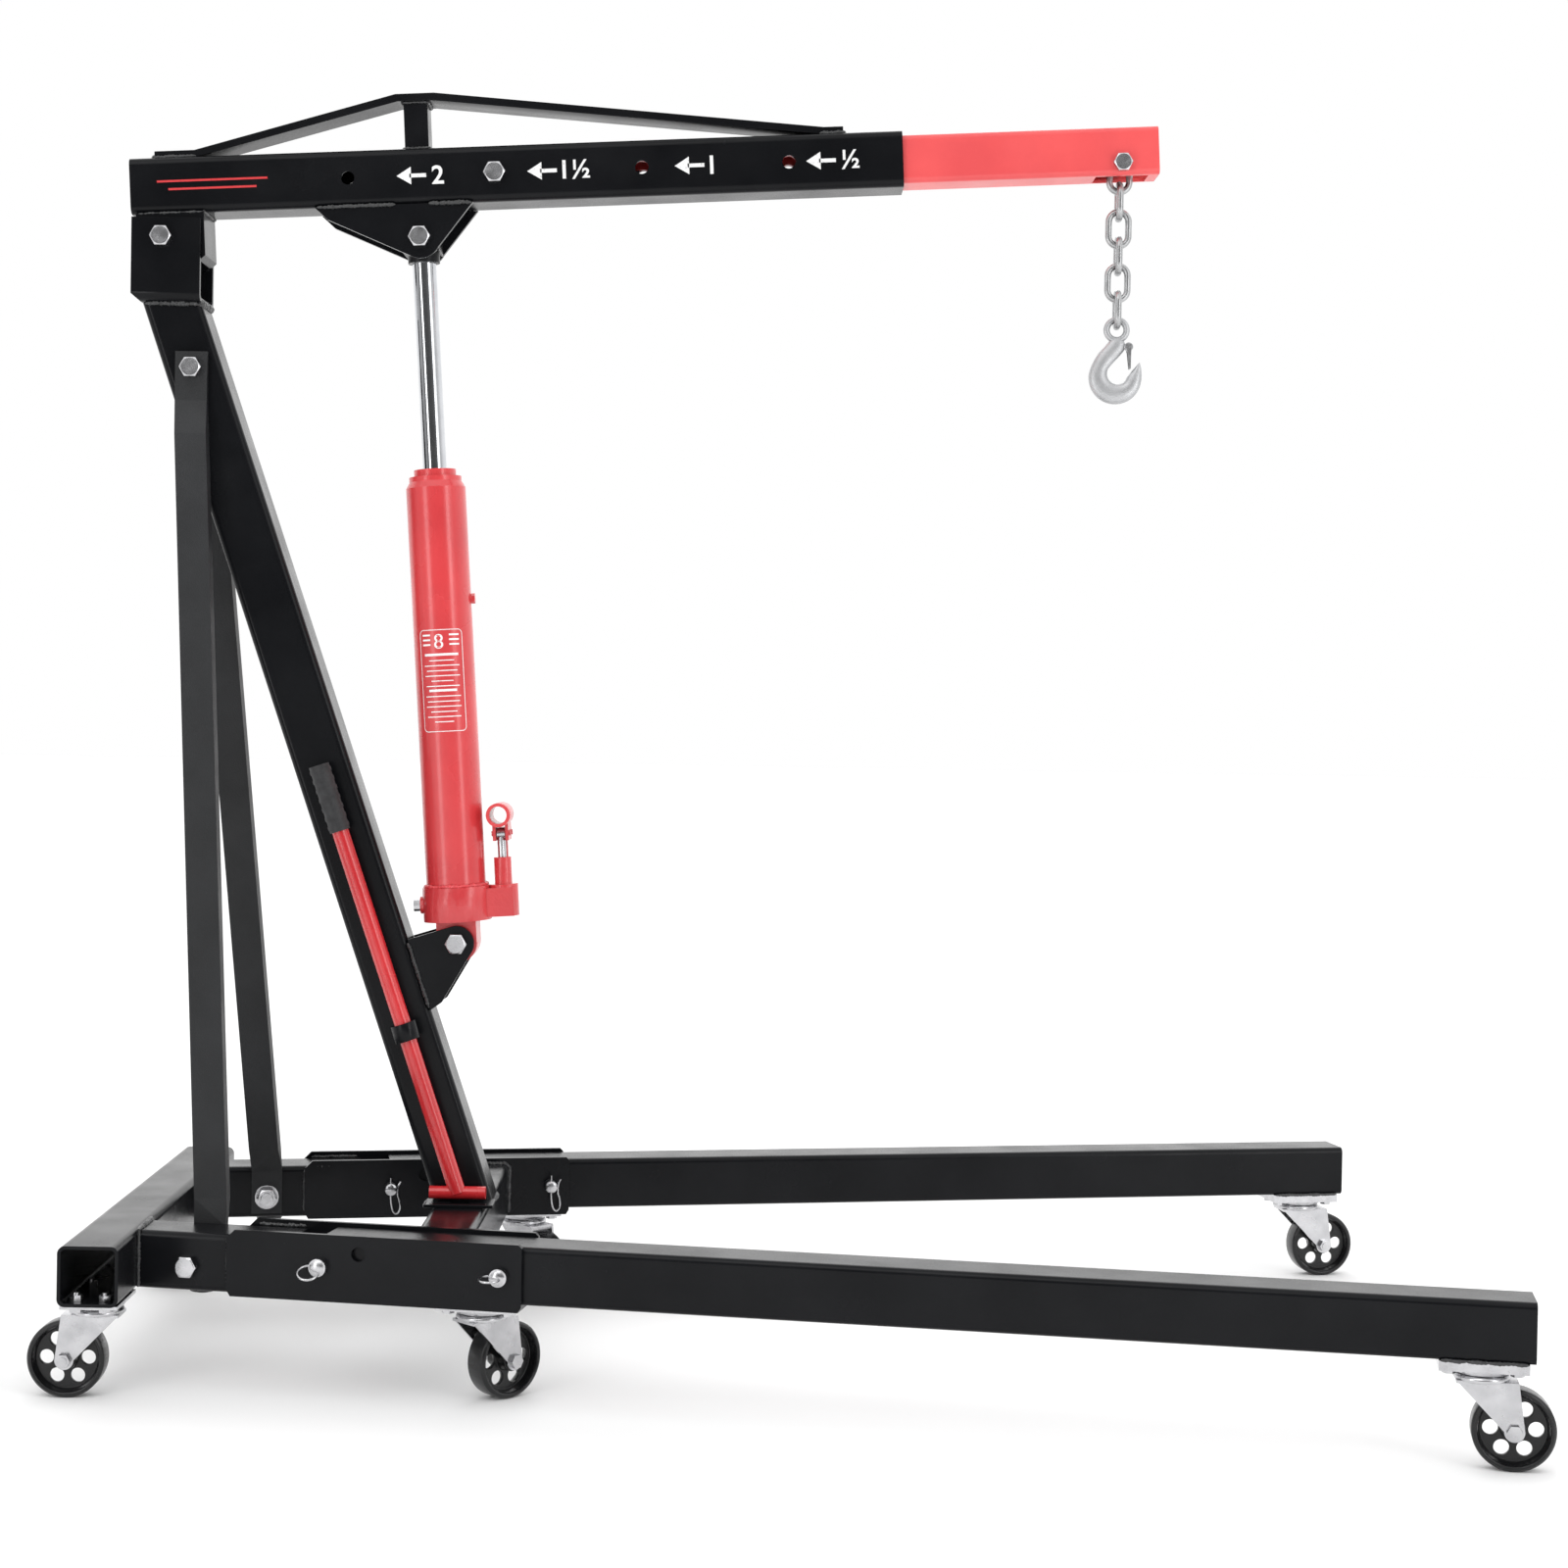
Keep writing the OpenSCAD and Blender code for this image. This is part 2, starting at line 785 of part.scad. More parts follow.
module extension_tube() {
    color(red)
        boom_frame()
            difference() {
                translate([ext_tail, 0, 0]) tube_x(ext_end - ext_tail, ext_size, ext_size, 4, 7);
                // side walls are open behind the last lock position
                translate([ext_tail - 1, -50, -bolt_d / 2 - 0.5])
                    cube([lock_s - ext_tail + hole_pitch + 1, 100, bolt_d + 1]);
                for (k = [1, 2])
                    translate([lock_s + k * hole_pitch, 0, 0]) rod_y(bolt_d / 2 + 0.5, -50, 50);
                translate([chain_s, 0, -chain_drop]) rod_y(chain_bolt_r + 0.2, -50, 50);
                translate([chain_s - 33, -20, -ext_size / 2 - 1]) cube([66, 40, 6]);
            }
}

module chain_bolt() {
    color(zinc) boom_frame() bolt_y(chain_s, -chain_drop, ext_size / 2, 2 * chain_bolt_r);
}

// ---------- chain and hook ----------

// one link in the XZ plane, centred
module link_body() {
    half = link_in / 2 + wire_r - bend_r;
    for (s = [0, 180])
        rotate([0, s, 0]) {
            translate([0, 0, half])
                rotate([90, 0, 0]) rotate_extrude(angle = 180) translate([bend_r, 0]) circle(wire_r);
            translate([bend_r, 0, -half]) cylinder(r = wire_r, h = 2 * half);
        }
}

module link_at(k) {
    color(zinc)
        at_origin()
            translate([chain_pt[0], 0, link_top - (k - 1) * link_step])
                rotate([0, 0, k % 2 == 0 ? 90 : 0]) link_body();
}

module link_1() {
    link_at(1);
}

module link_2() {
    link_at(2);
}

module link_3() {
    link_at(3);
}

module link_4() {
    link_at(4);
}

module link_5() {
    link_at(5);
}

module link_6() {
    link_at(6);
}

module hook() {
    color(zinc)
        at_origin()
            translate([chain_pt[0], 0, hook_z])
                difference() {
                    union() {
                        rotate([90, 0, 0]) rotate_extrude() translate([eye_r, 0]) circle(eye_wire);
                        translate([-2, 0, -36]) cylinder(r = 9.5, h = 18);
                        translate([-2, 0, -18]) sphere(9.5);
                        translate([bowl[0], 0, bowl[1]])
                            rotate([90, 0, 0]) {
                                rotate([0, 0, 98])
                                    rotate_extrude(angle = 262) translate([bowl_r, 0]) circle(hook_r);
                                rotate([0, 0, 98]) translate([bowl_r, 0, 0]) sphere(hook_r);
                                translate([bowl_r, -3, 0])
                                    rotate([-90, 0, 0]) cylinder(r1 = hook_r - 0.2, r2 = 4, h = 18);
                            }
                        translate([bowl[0] + bowl_r, 0, bowl[1] + 15]) sphere(4);
                        // ear that carries the latch pin
                        translate([latch_pin[0], 0, latch_pin[1]]) rod_y(5, -4, 4);
                        translate([0, -4, latch_pin[1] - 4]) cube([latch_pin[0], 8, 8.5]);
                    }
                    translate([latch_pin[0], 0, latch_pin[1]]) rod_y(2 + pin_gap, -10, 10);
                }
}

module hook_latch() {
    color(zinc)
        at_origin()
            translate([chain_pt[0] + latch_pin[0], 0, hook_z + latch_pin[1]]) {
                rod_y(2, -6.4, 6.4);
                for (s = [-1, 1])
                    slab_y(s * 5 - 0.6, s * 5 + 0.6)
                        polygon([[-3, 3], [3, 3], [2.4, -latch_len], [0.8, -latch_len],
                                 [-1.5, -8], [-3, -3]]);
                translate([1.2, -5.6, -latch_len]) cube([1.2, 11.2, latch_len - 6.5]);
            }
}

// ---------- ram ----------

module ram_cylinder() {
    color(red)
        ram_frame()
            difference() {
                union() {
                    translate([0, 0, 70]) cylinder(r = ram_d / 2, h = 503);
                    translate([0, 0, 573]) cylinder(r1 = ram_d / 2, r2 = 33, h = 8);
                }
                translate([0, 0, 78]) cylinder(r = ram_d / 2 - 5, h = 495);
                translate([0, 0, 560]) cylinder(r = 24.5, h = 30);
                translate([ram_d / 2 - 10, 0, 432]) rotate([0, 90, 0]) cylinder(r = 6.02, h = 20);
            }
}

module ram_base() {
    color(red)
        ram_frame()
            difference() {
                union() {
                    translate([0, 0, 27]) cylinder(r = 43, h = 43);
                    translate([0, -18, 30]) cube([pump_x + 13, 36, 36]);
                    translate([pump_x, 0, 30]) cylinder(r = 18, h = 40);
                    translate([pump_x, 0, 70]) cylinder(r = 11, h = 34);
                    translate([-46, 0, 48]) rotate([0, 90, 0]) cylinder(r = 11, h = 20);
                    // yoke on the foot bolt
                    translate([-25, -27, 0]) cube([50, 54, 28]);
                    rod_y(25, -27, 27);
                    // post of the pump fulcrum
                    translate([pump_x - 5, 12, 66]) cube([10, 24, 14]);
                    translate([pump_x - 5, 22, 66]) cube([10, 14, pump_top - 66]);
                    translate([pump_x, 29, pump_top])
                        rotate([0, 90, 0]) cylinder(r = 7, h = 10, center = true);
                }
                rod_y(bolt_d / 2 + pin_gap, -40, 40);
                translate([pump_x, 0, 60]) cylinder(r = 5.5, h = 60);
                translate([pump_x - 10, 29, pump_top]) rotate([0, 90, 0]) cylinder(r = 3.5 + pin_gap, h = 20);
                translate([-60, 0, 48]) rotate([0, 90, 0]) cylinder(r = 6 + pin_gap, h = 34);
            }
}

module ram_gland() {
    color(red)
        ram_frame()
            difference() {
                union() {
                    translate([0, 0, 581]) cylinder(r = 33, h = 6);
                    translate([0, 0, 587]) cylinder(r = 26.5, h = 9);
                    translate([0, 0, 562]) cylinder(r = 24.4, h = 20);
                }
                translate([0, 0, 550]) cylinder(r = rod_d / 2 + pin_gap, h = 60);
            }
}

module filler_plug() {
    color(zinc)
        ram_frame()
            translate([ram_d / 2 - 4.5, 0, 432])
                rotate([0, 90, 0]) {
                    cylinder(r = 6, h = 5);
                    translate([0, 0, 5]) cylinder(r = 6.5, h = 4.5, $fn = 6);
                }
}

module ram_rod() {
    color(zinc)
        ram_frame() {
            translate([0, 0, 330]) cylinder(r = rod_d / 2, h = ram_len - 330 - 28);
            translate([0, 0, 305]) cylinder(r = ram_d / 2 - 5.1, h = 25);
        }
}

module rod_eye() {
    color(black)
        ram_frame()
            translate([0, 0, ram_len])
                difference() {
                    union() {
                        translate([0, 0, -28]) cylinder(r = 20, h = 14);
                        translate([-24, -25, -16]) cube([46, 50, 32]);
                    }
                    rod_y(bolt_d / 2 + 3, -40, 40);
                    translate([-40, -40, -bolt_d / 2 - 3]) cube([40, 80, bolt_d + 6]);
                }
}

module pump_plunger() {
    color(zinc)
        ram_frame()
            translate([pump_x, 0, 0])
                difference() {
                    union() {
                        translate([0, 0, 68]) cylinder(r = 5.4, h = pump_top - 68 - 4);
                        translate([-5, 0, pump_top]) rotate([0, 90, 0]) cylinder(r = 7, h = 10);
                    }
                    translate([-10, 0, pump_top]) rotate([0, 90, 0]) cylinder(r = 4.3, h = 20);
                }
}

module pump_socket() {
    color(red)
        ram_frame()
            translate([pump_x, 0, pump_top]) {
                for (s = [-1, 1])
                    translate([s * 8 - 2, 0, 0])
                        rotate([90, 0, 90])
                            linear_extrude(4) {
                                translate([-10, -9]) square([45, 22]);
                                translate([29, 0]) circle(9);
                            }
                for (y = [0, 29])
                    translate([-12, y, 0]) rotate([0, 90, 0]) cylinder(r = 3.5, h = 24);
                difference() {
                    translate([0, 0, 24]) rod_y(15, -34, 26);
                    translate([0, 0, 24]) rod_y(11, -35, 27);
                }
            }
}

module release_valve() {
    color(zinc)
        ram_frame()
            translate([0, 0, 48])
                rotate([0, -90, 0]) {
                    translate([0, 0, 30]) cylinder(r = 6, h = 17);
                    translate([0, 0, 46.5]) cylinder(r = 8, h = 8, $fn = 12);
                }
}

// ---------- pump handle ----------

module handle_tube() {
    color(red)
        mast_frame()
            translate([0, handle_y, 0]) {
                difference() {
                    translate([0, 0, handle_low]) cylinder(r = handle_r, h = 553 - handle_low);
                    translate([0, 0, handle_low + 10]) cylinder(r = handle_r - 2, h = 560);
                }
                rotate([0, mast_lean, 0])
                    translate([handle_low * sin(-mast_lean), 0, handle_low * cos(mast_lean)])
                        rotate([0, 90, 0])
                            difference() {
                                cylinder(r = 8, h = 70, center = true);
                                cylinder(r = 6, h = 72, center = true);
                            }
            }
}

module handle_grip() {
    color(rubber)
        mast_frame()
            translate([0, handle_y, 490])
                difference() {
                    union() {
                        cylinder(r = 12.8, h = 86);
                        for (k = [0:6])
                            translate([0, 0, 4 + k * 12]) cylinder(r = 13.6, h = 5);
                    }
                    translate([0, 0, -1]) cylinder(r = handle_r, h = 64);
                }
}

rear_cross_tube();
right_rail();
left_rail();
right_leg_bracket();
left_leg_bracket();
front_cross_tube();
mast();
mast_head();
ram_foot_bracket();
right_brace();
left_brace();
handle_clip();
handle_rest();
frame_bolts();
leg_pins();
pin_clips();
frame_caster_plates();
boom_tube();
boom_lug();
truss_strap();
truss_post();
ram_head_bracket();
boom_bolts();
extension_tube();
chain_bolt();
link_1();
link_2();
link_3();
link_4();
link_5();
link_6();
hook();
hook_latch();
ram_cylinder();
ram_base();
ram_gland();
filler_plug();
ram_rod();
rod_eye();
pump_plunger();
pump_socket();
release_valve();
handle_tube();
handle_grip();
right_leg();
left_leg();
right_leg_plate();
left_leg_plate();
rear_right_fork();
rear_left_fork();
mid_right_fork();
mid_left_fork();
front_right_fork();
front_left_fork();
rear_right_wheel();
rear_left_wheel();
mid_right_wheel();
mid_left_wheel();
front_right_wheel();
front_left_wheel();
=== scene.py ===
"""Looks of the folding engine hoist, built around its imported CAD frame.

Metres, +X forward to the leg tips, +Y left, +Z up, floor at Z = 0. The viewer stands on the -Y side.
"""

import json
import math

import bmesh
import bpy
from mathutils import Matrix, Vector, noise


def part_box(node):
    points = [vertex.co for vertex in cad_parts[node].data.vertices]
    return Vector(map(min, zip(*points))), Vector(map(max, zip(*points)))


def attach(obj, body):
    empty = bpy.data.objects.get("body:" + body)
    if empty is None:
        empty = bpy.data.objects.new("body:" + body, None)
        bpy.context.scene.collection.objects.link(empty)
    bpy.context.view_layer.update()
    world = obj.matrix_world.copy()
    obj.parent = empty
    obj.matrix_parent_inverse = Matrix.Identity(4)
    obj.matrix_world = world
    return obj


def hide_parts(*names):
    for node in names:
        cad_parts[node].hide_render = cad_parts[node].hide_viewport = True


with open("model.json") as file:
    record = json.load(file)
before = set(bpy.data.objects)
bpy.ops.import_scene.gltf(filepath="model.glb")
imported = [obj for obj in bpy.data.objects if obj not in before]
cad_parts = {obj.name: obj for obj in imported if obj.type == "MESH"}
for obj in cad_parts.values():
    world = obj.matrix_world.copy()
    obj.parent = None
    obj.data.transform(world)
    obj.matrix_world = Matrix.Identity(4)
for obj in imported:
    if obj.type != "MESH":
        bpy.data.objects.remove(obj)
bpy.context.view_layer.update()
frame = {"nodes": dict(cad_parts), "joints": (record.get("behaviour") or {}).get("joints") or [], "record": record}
NODES = frame["nodes"]
JOINTS = {joint["name"]: joint for joint in frame["joints"]}
MM = 0.001

# ---------- places taken from the frame ----------

# All plans below are in millimetres, X measured from the rear face of the rear cross tube.
REAR_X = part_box("rear_cross_tube")[0][0]
SPLAY = math.atan2(abs(JOINTS["leg_right_fold"]["axis"][0]), abs(JOINTS["leg_right_fold"]["axis"][1]))
BOOM_DIR = Vector(JOINTS["extension_slide"]["axis"]).normalized()
RAM_DIR = Vector(JOINTS["rod_slide"]["axis"]).normalized()
MAST_DIR = Vector(JOINTS["handle_lift"]["axis"]).normalized()
RAM_FOOT = Vector(JOINTS["ram_swing"]["pos_m"])
SIDES = {"right": -1, "left": 1}
# Rear end of a side beam's outer face, foot of the mast's axis and rear end of the boom's axis.
BEAM_X = 70
BEAM_Y = 247
MAST_X = 430
MAST_Z = 184
BOOM_X = -4.5
BOOM_Z = 1447.5
ACROSS = Vector((0, 1, 0))


def at(x, y, z):
    """Point of the row frame from a plan point in millimetres."""
    return Vector((REAR_X + x * MM, y * MM, z * MM))


def local_frame(origin, up):
    """Matrix of a frame in the middle plane whose Z axis is up and whose X axis points forward."""
    z_dir = up.normalized()
    return Matrix.Translation(origin) @ Matrix((ACROSS.cross(z_dir), ACROSS, z_dir)).transposed().to_4x4()


BOOM = local_frame(at(BOOM_X, 0, BOOM_Z), BOOM_DIR.cross(ACROSS))
RAM = local_frame(RAM_FOOT, RAM_DIR)
MAST = local_frame(at(MAST_X, 0, MAST_Z), MAST_DIR)


def in_frame(frame_matrix, x, y, z):
    return frame_matrix @ Vector((x * MM, y * MM, z * MM))


def beam(side, along, inward, z):
    """Point of a side beam: along it from the rear cross tube, inwards from its outer face."""
    x = BEAM_X + along * math.cos(SPLAY) + inward * math.sin(SPLAY)
    y = BEAM_Y + along * math.sin(SPLAY) - inward * math.cos(SPLAY)
    return at(x, SIDES[side] * y, z)


def mast_x(z):
    """Plan X of the mast's axis at a height."""
    return MAST_X - (z - MAST_Z) * MAST_DIR.x / -MAST_DIR.z


# ---------- mesh building ----------


def skin(bm, rings, closed=False, caps=True):
    """Quads between rings of points, with flat caps at the ends of an open run."""
    made = [[bm.verts.new(p) for p in ring] for ring in rings]
    pairs = list(zip(made, made[1:])) + ([(made[-1], made[0])] if closed else [])
    for first, second in pairs:
        count = len(first)
        for i in range(count):
            j = (i + 1) % count
            bm.faces.new((first[i], first[j], second[j], second[i]))
    if caps and not closed:
        bm.faces.new(list(reversed(made[0])))
        bm.faces.new(made[-1])


def sweep(bm, path, radius, sides=10, closed=False):
    """Round bar along a path; radius is a number or a list with one entry per point."""
    count = len(path)
    radii = radius if isinstance(radius, list) else [radius] * count
    tangents = []
    for i in range(count):
        before = path[i - 1] if closed or i else path[i]
        after = path[(i + 1) % count] if closed or i < count - 1 else path[i]
        tangents.append((after - before).normalized())
    side = tangents[0].orthogonal().normalized()
    rings = []
    for point, tangent, r in zip(path, tangents, radii):
        side = (side - side.dot(tangent) * tangent).normalized()
        over = tangent.cross(side)
        ring = []
        for k in range(sides):
            turn = 2 * math.pi * k / sides
            ring.append(point + (side * math.cos(turn) + over * math.sin(turn)) * r)
        rings.append(ring)
    skin(bm, rings, closed)


def lathe(bm, frame_matrix, profile, steps=32):
    """Turned shape: profile holds (radius, height) in millimetres about the frame's Z axis."""
    rings = []
    for k in range(steps):
        turn = 2 * math.pi * k / steps
        rings.append([
            in_frame(frame_matrix, r * math.cos(turn), r * math.sin(turn), h) for r, h in profile
        ])
    made = [[bm.verts.new(p) for p in ring] for ring in rings]
    for k in range(steps):
        first, second = made[k], made[(k + 1) % steps]
        for i in range(len(profile)):
            j = (i + 1) % len(profile)
            bm.faces.new((first[i], second[i], second[j], first[j]))


def resample(corners, step):
    """Evenly spaced points along a run of straight stretches."""
    points = [corners[0]]
    for start, end in zip(corners, corners[1:]):
        count = max(1, round((end - start).length / step))
        points += [start.lerp(end, k / count) for k in range(1, count + 1)]
    return points


def bead(bm, corners, r=3.0):
    """Weld bead with ripples and an uneven width, along corners given in the row frame."""
    path = resample(corners, 1.3 * MM)
    radii = []
    moved = []
    for k, point in enumerate(path):
        ripple = 1 + 0.13 * math.sin(k * 1.75)
        ripple = ripple + 0.35 * noise.noise(point * 90) + 0.2 * noise.noise(point * 330)
        end = min(1.0, 0.35 + 0.25 * min(k, len(path) - 1 - k))
        radii.append(r * MM * ripple * end)
        moved.append(point + noise.noise_vector(point * 140) * 0.7 * MM)
    sweep(bm, moved, radii, 8)


def axis_frame(centre, axis):
    """Matrix of a frame at centre with its Z axis along axis."""
    z_dir = axis.normalized()
    x_dir = z_dir.orthogonal().normalized()
    return Matrix.Translation(centre) @ Matrix((x_dir, z_dir.cross(x_dir), z_dir)).transposed().to_4x4()


def hoop(bm, centre, axis, r_major, r_minor, steps=40, sides=10):
    """Closed ring of round wire about an axis."""
    place = axis_frame(centre, axis)
    path = []
    for k in range(steps):
        turn = math.tau * k / steps
        path.append(in_frame(place, r_major * math.cos(turn), r_major * math.sin(turn), 0))
    sweep(bm, path, r_minor * MM, sides, True)


def make_piece(name, body, material, build, replaced=(), smooth=True):
    """One piece of the visual model: build fills its mesh, and it rides on a body."""
    bm = bmesh.new()
    build(bm)
    bmesh.ops.recalc_face_normals(bm, faces=bm.faces)
    for face in bm.faces:
        face.smooth = smooth
    if smooth:
        for edge in bm.edges:
            edge.smooth = edge.is_manifold and edge.calc_face_angle(0) < math.radians(42)
    mesh = bpy.data.meshes.new(name)
    bm.to_mesh(mesh)
    bm.free()
    mesh.materials.append(material)
    obj = bpy.data.objects.new(name, mesh)
    bpy.context.scene.collection.objects.link(obj)
    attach(obj, body)
    if replaced:
        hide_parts(*replaced)
    return obj


# ---------- materials ----------


class Shader:
    """A principled material whose inputs are fed by procedural nodes."""

    def __init__(self, name, metallic=0.0, coat=0.0, coat_rough=0.05):
        self.mat = bpy.data.materials.new(name)
        self.mat.use_nodes = True
        self.nodes = self.mat.node_tree.nodes
        self.links = self.mat.node_tree.links
        self.bsdf = next(n for n in self.nodes if n.type == "BSDF_PRINCIPLED")
        self.bsdf.inputs["Metallic"].default_value = metallic
        self.bsdf.inputs["Coat Weight"].default_value = coat
        self.bsdf.inputs["Coat Roughness"].default_value = coat_rough
        self.coord = self.nodes.new("ShaderNodeTexCoord").outputs["Object"]
        self.normal = None

    def noise(self, scale, detail=4.0, rough=0.5):
        node = self.nodes.new("ShaderNodeTexNoise")
        node.inputs["Scale"].default_value = scale
        node.inputs["Detail"].default_value = detail
        node.inputs["Roughness"].default_value = rough
        self.links.new(self.coord, node.inputs["Vector"])
        return node.outputs["Fac"]

    def ramp(self, source, stops):
        node = self.nodes.new("ShaderNodeValToRGB")
        elements = node.color_ramp.elements
        while len(elements) < len(stops):
            elements.new(0.5)
        for element, (position, color) in zip(elements, stops):
            element.position = position
            element.color = (*color, 1)
        self.links.new(source, node.inputs["Fac"])
        return node.outputs["Color"]

    def remap(self, source, low, high, from_low=0.3, from_high=0.7):
        node = self.nodes.new("ShaderNodeMapRange")
        node.inputs["From Min"].default_value = from_low
        node.inputs["From Max"].default_value = from_high
        node.inputs["To Min"].default_value = low
        node.inputs["To Max"].default_value = high
        self.links.new(source, node.inputs["Value"])
        return node.outputs["Result"]

    def mix(self, factor, first, second):
        node = self.nodes.new("ShaderNodeMix")
        node.data_type = "RGBA"
        self.links.new(factor, node.inputs["Factor"])
        for socket, value in ((node.inputs["A"], first), (node.inputs["B"], second)):
            target = next(s for s in node.inputs if s.name == socket.name and s.type == "RGBA")
            if isinstance(value, tuple):
                target.default_value = (*value, 1)
            else:
                self.links.new(value, target)
        return next(s for s in node.outputs if s.type == "RGBA")

    def color(self, source):
        self.links.new(source, self.bsdf.inputs["Base Color"])

    def rough(self, source):
        self.links.new(source, self.bsdf.inputs["Roughness"])

    def bump(self, source, height, strength=1.0):
        node = self.nodes.new("ShaderNodeBump")
        node.inputs["Distance"].default_value = height
        node.inputs["Strength"].default_value = strength
        self.links.new(source, node.inputs["Height"])
        if self.normal is not None:
            self.links.new(self.normal, node.inputs["Normal"])
        self.normal = node.outputs["Normal"]
        self.links.new(self.normal, self.bsdf.inputs["Normal"])


def painted(name, dark, light, rough, peel, coat=0.25, dust=0.04, gloss=0.5):
    """Powder coat or enamel: a two-tone base, orange peel, roughness patches and a little dust."""
    shader = Shader(name, coat=coat, coat_rough=0.12)
    shader.bsdf.inputs["Specular IOR Level"].default_value = gloss
    tone = shader.ramp(shader.noise(9.0, 5.0), ((0.35, dark), (0.68, light)))
    specks = shader.remap(shader.noise(420.0, 2.0), 0.0, dust, 0.58, 0.75)
    pale = tuple(min(1.0, c * 1.6 + 0.05) for c in light)
    shader.color(shader.mix(specks, tone, pale))
    shader.rough(shader.remap(shader.noise(14.0, 4.0), rough[0], rough[1]))
    shader.bump(shader.noise(peel[0], 3.0, 0.55), peel[1])
    return shader.mat


def metal(name, dark, light, rough, grain, grain_height, scale=60.0):
    """Plated or bare metal with cloudy tone, streaks in its roughness and a fine grain."""
    shader = Shader(name, metallic=1.0)
    shader.color(shader.ramp(shader.noise(scale, 5.0), ((0.3, dark), (0.7, light))))
    shader.rough(shader.remap(shader.noise(scale * 1.7, 4.0), rough[0], rough[1]))
    shader.bump(shader.noise(grain, 3.0), grain_height)
    return shader.mat


def grip_rubber(name):
    """Dark rubber with a fine matt grain."""
    shader = Shader(name)
    stops = ((0.3, (0.012, 0.012, 0.013)), (0.7, (0.024, 0.024, 0.026)))
    shader.color(shader.ramp(shader.noise(160.0), stops))
    shader.rough(shader.remap(shader.noise(90.0), 0.45, 0.7))
    shader.bump(shader.noise(900.0, 2.0), 0.0002)
    return shader.mat


def weld_metal(name, dark, light):
    """Painted weld bead: same paint, thinner and glossier over the ripples."""
    shader = Shader(name, coat=0.3, coat_rough=0.15)
    shader.color(shader.ramp(shader.noise(120.0), ((0.3, dark), (0.7, light))))
    shader.rough(shader.remap(shader.noise(200.0), 0.25, 0.5))
    shader.bump(shader.noise(700.0, 3.0), 0.0003)
    return shader.mat


def decal(name, ink, worn):
    """Printed mark with faint wear along its surface."""
    shader = Shader(name)
    wear = shader.ramp(shader.noise(260.0, 6.0, 0.65), ((0.30, worn), (0.42, ink), (0.8, ink)))
    shader.color(wear)
    shader.rough(shader.remap(shader.noise(80.0), 0.35, 0.55))
    shader.bump(shader.noise(500.0, 3.0), 0.00008)
    return shader.mat


BLACK = painted("black_powder_coat", (0.0045, 0.0048, 0.0058), (0.0075, 0.0079, 0.0092), (0.16, 0.28),
                (900.0, 0.00008), 0.0, 0.01, 0.14)
GRAINY = painted("grainy_black_coat", (0.013, 0.0135, 0.0145), (0.022, 0.023, 0.025), (0.42, 0.6),
                 (620.0, 0.0004), 0.0, 0.03, 0.3)
EXT_RED = painted("extension_red_coat", (0.72, 0.072, 0.077), (0.82, 0.094, 0.095), (0.3, 0.42),
                  (800.0, 0.0001), 0.2)
RAM_RED = painted("ram_red_enamel", (0.56, 0.036, 0.042), (0.68, 0.052, 0.058), (0.22, 0.34),
                  (500.0, 0.00008), 0.35, 0.02)
RAM_CAST = painted("ram_cast_red", (0.54, 0.034, 0.040), (0.68, 0.052, 0.058), (0.22, 0.4),
                   (170.0, 0.0006), 0.4, 0.02)
HANDLE_RED = painted("handle_red_coat", (0.52, 0.016, 0.021), (0.64, 0.025, 0.030), (0.2, 0.34),
                     (700.0, 0.00009), 0.5)
WHEEL_BLACK = painted("wheel_black", (0.006, 0.006, 0.0065), (0.011, 0.011, 0.012), (0.2, 0.34),
                      (700.0, 0.0002), 0.1, 0.015, 0.35)
ZINC = metal("zinc_plate", (0.46, 0.46, 0.475), (0.60, 0.60, 0.615), (0.2, 0.3), 800.0, 0.00003, 45.0)
GALVANISED = metal("galvanised_chain", (0.38, 0.385, 0.39), (0.49, 0.495, 0.50), (0.3, 0.4),
                   300.0, 0.00001, 60.0)
FORGED = metal("plated_forging", (0.42, 0.425, 0.435), (0.56, 0.565, 0.575), (0.42, 0.52),
               150.0, 0.000012, 30.0)
CHROME = metal("hard_chrome", (0.50, 0.51, 0.53), (0.60, 0.61, 0.63), (0.06, 0.12), 900.0, 0.00001, 40.0)
RUBBER = grip_rubber("grip_rubber")
WELD_BLACK = weld_metal("black_weld", (0.010, 0.0105, 0.011), (0.022, 0.023, 0.025))
WELD_RED = weld_metal("red_weld", (0.60, 0.04, 0.05), (0.75, 0.07, 0.08))
WHITE_INK = decal("white_ink", (0.80, 0.80, 0.80), (0.30, 0.30, 0.31))
RED_INK = decal("red_ink", (0.62, 0.03, 0.035), (0.30, 0.02, 0.02))
LABEL_INK = decal("label_ink", (0.86, 0.86, 0.86), (0.70, 0.60, 0.60))

BY_SLOT = {
    "frame_black": BLACK,
    "ram_red": RAM_RED,
    "zinc": ZINC,
    "galvanised": GALVANISED,
    "chrome_rod": CHROME,
    "extension_red": EXT_RED,
    "handle_red": HANDLE_RED,
    "grip_rubber": RUBBER,
    "wheel_black": WHEEL_BLACK,
}
BY_NODE = {"right_brace": GRAINY, "left_brace": GRAINY, "ram_base": RAM_CAST, "pump_socket": RAM_CAST,
           "filler_plug": RAM_CAST}
for part in frame["record"]["subparts"]:
    look = BY_NODE.get(part["node"], BY_SLOT[part["material_slot"]])
    shown = NODES[part["node"]]
    shown.data.materials.clear()
    shown.data.materials.append(look)

# ---------- edges of the CAD nodes ----------

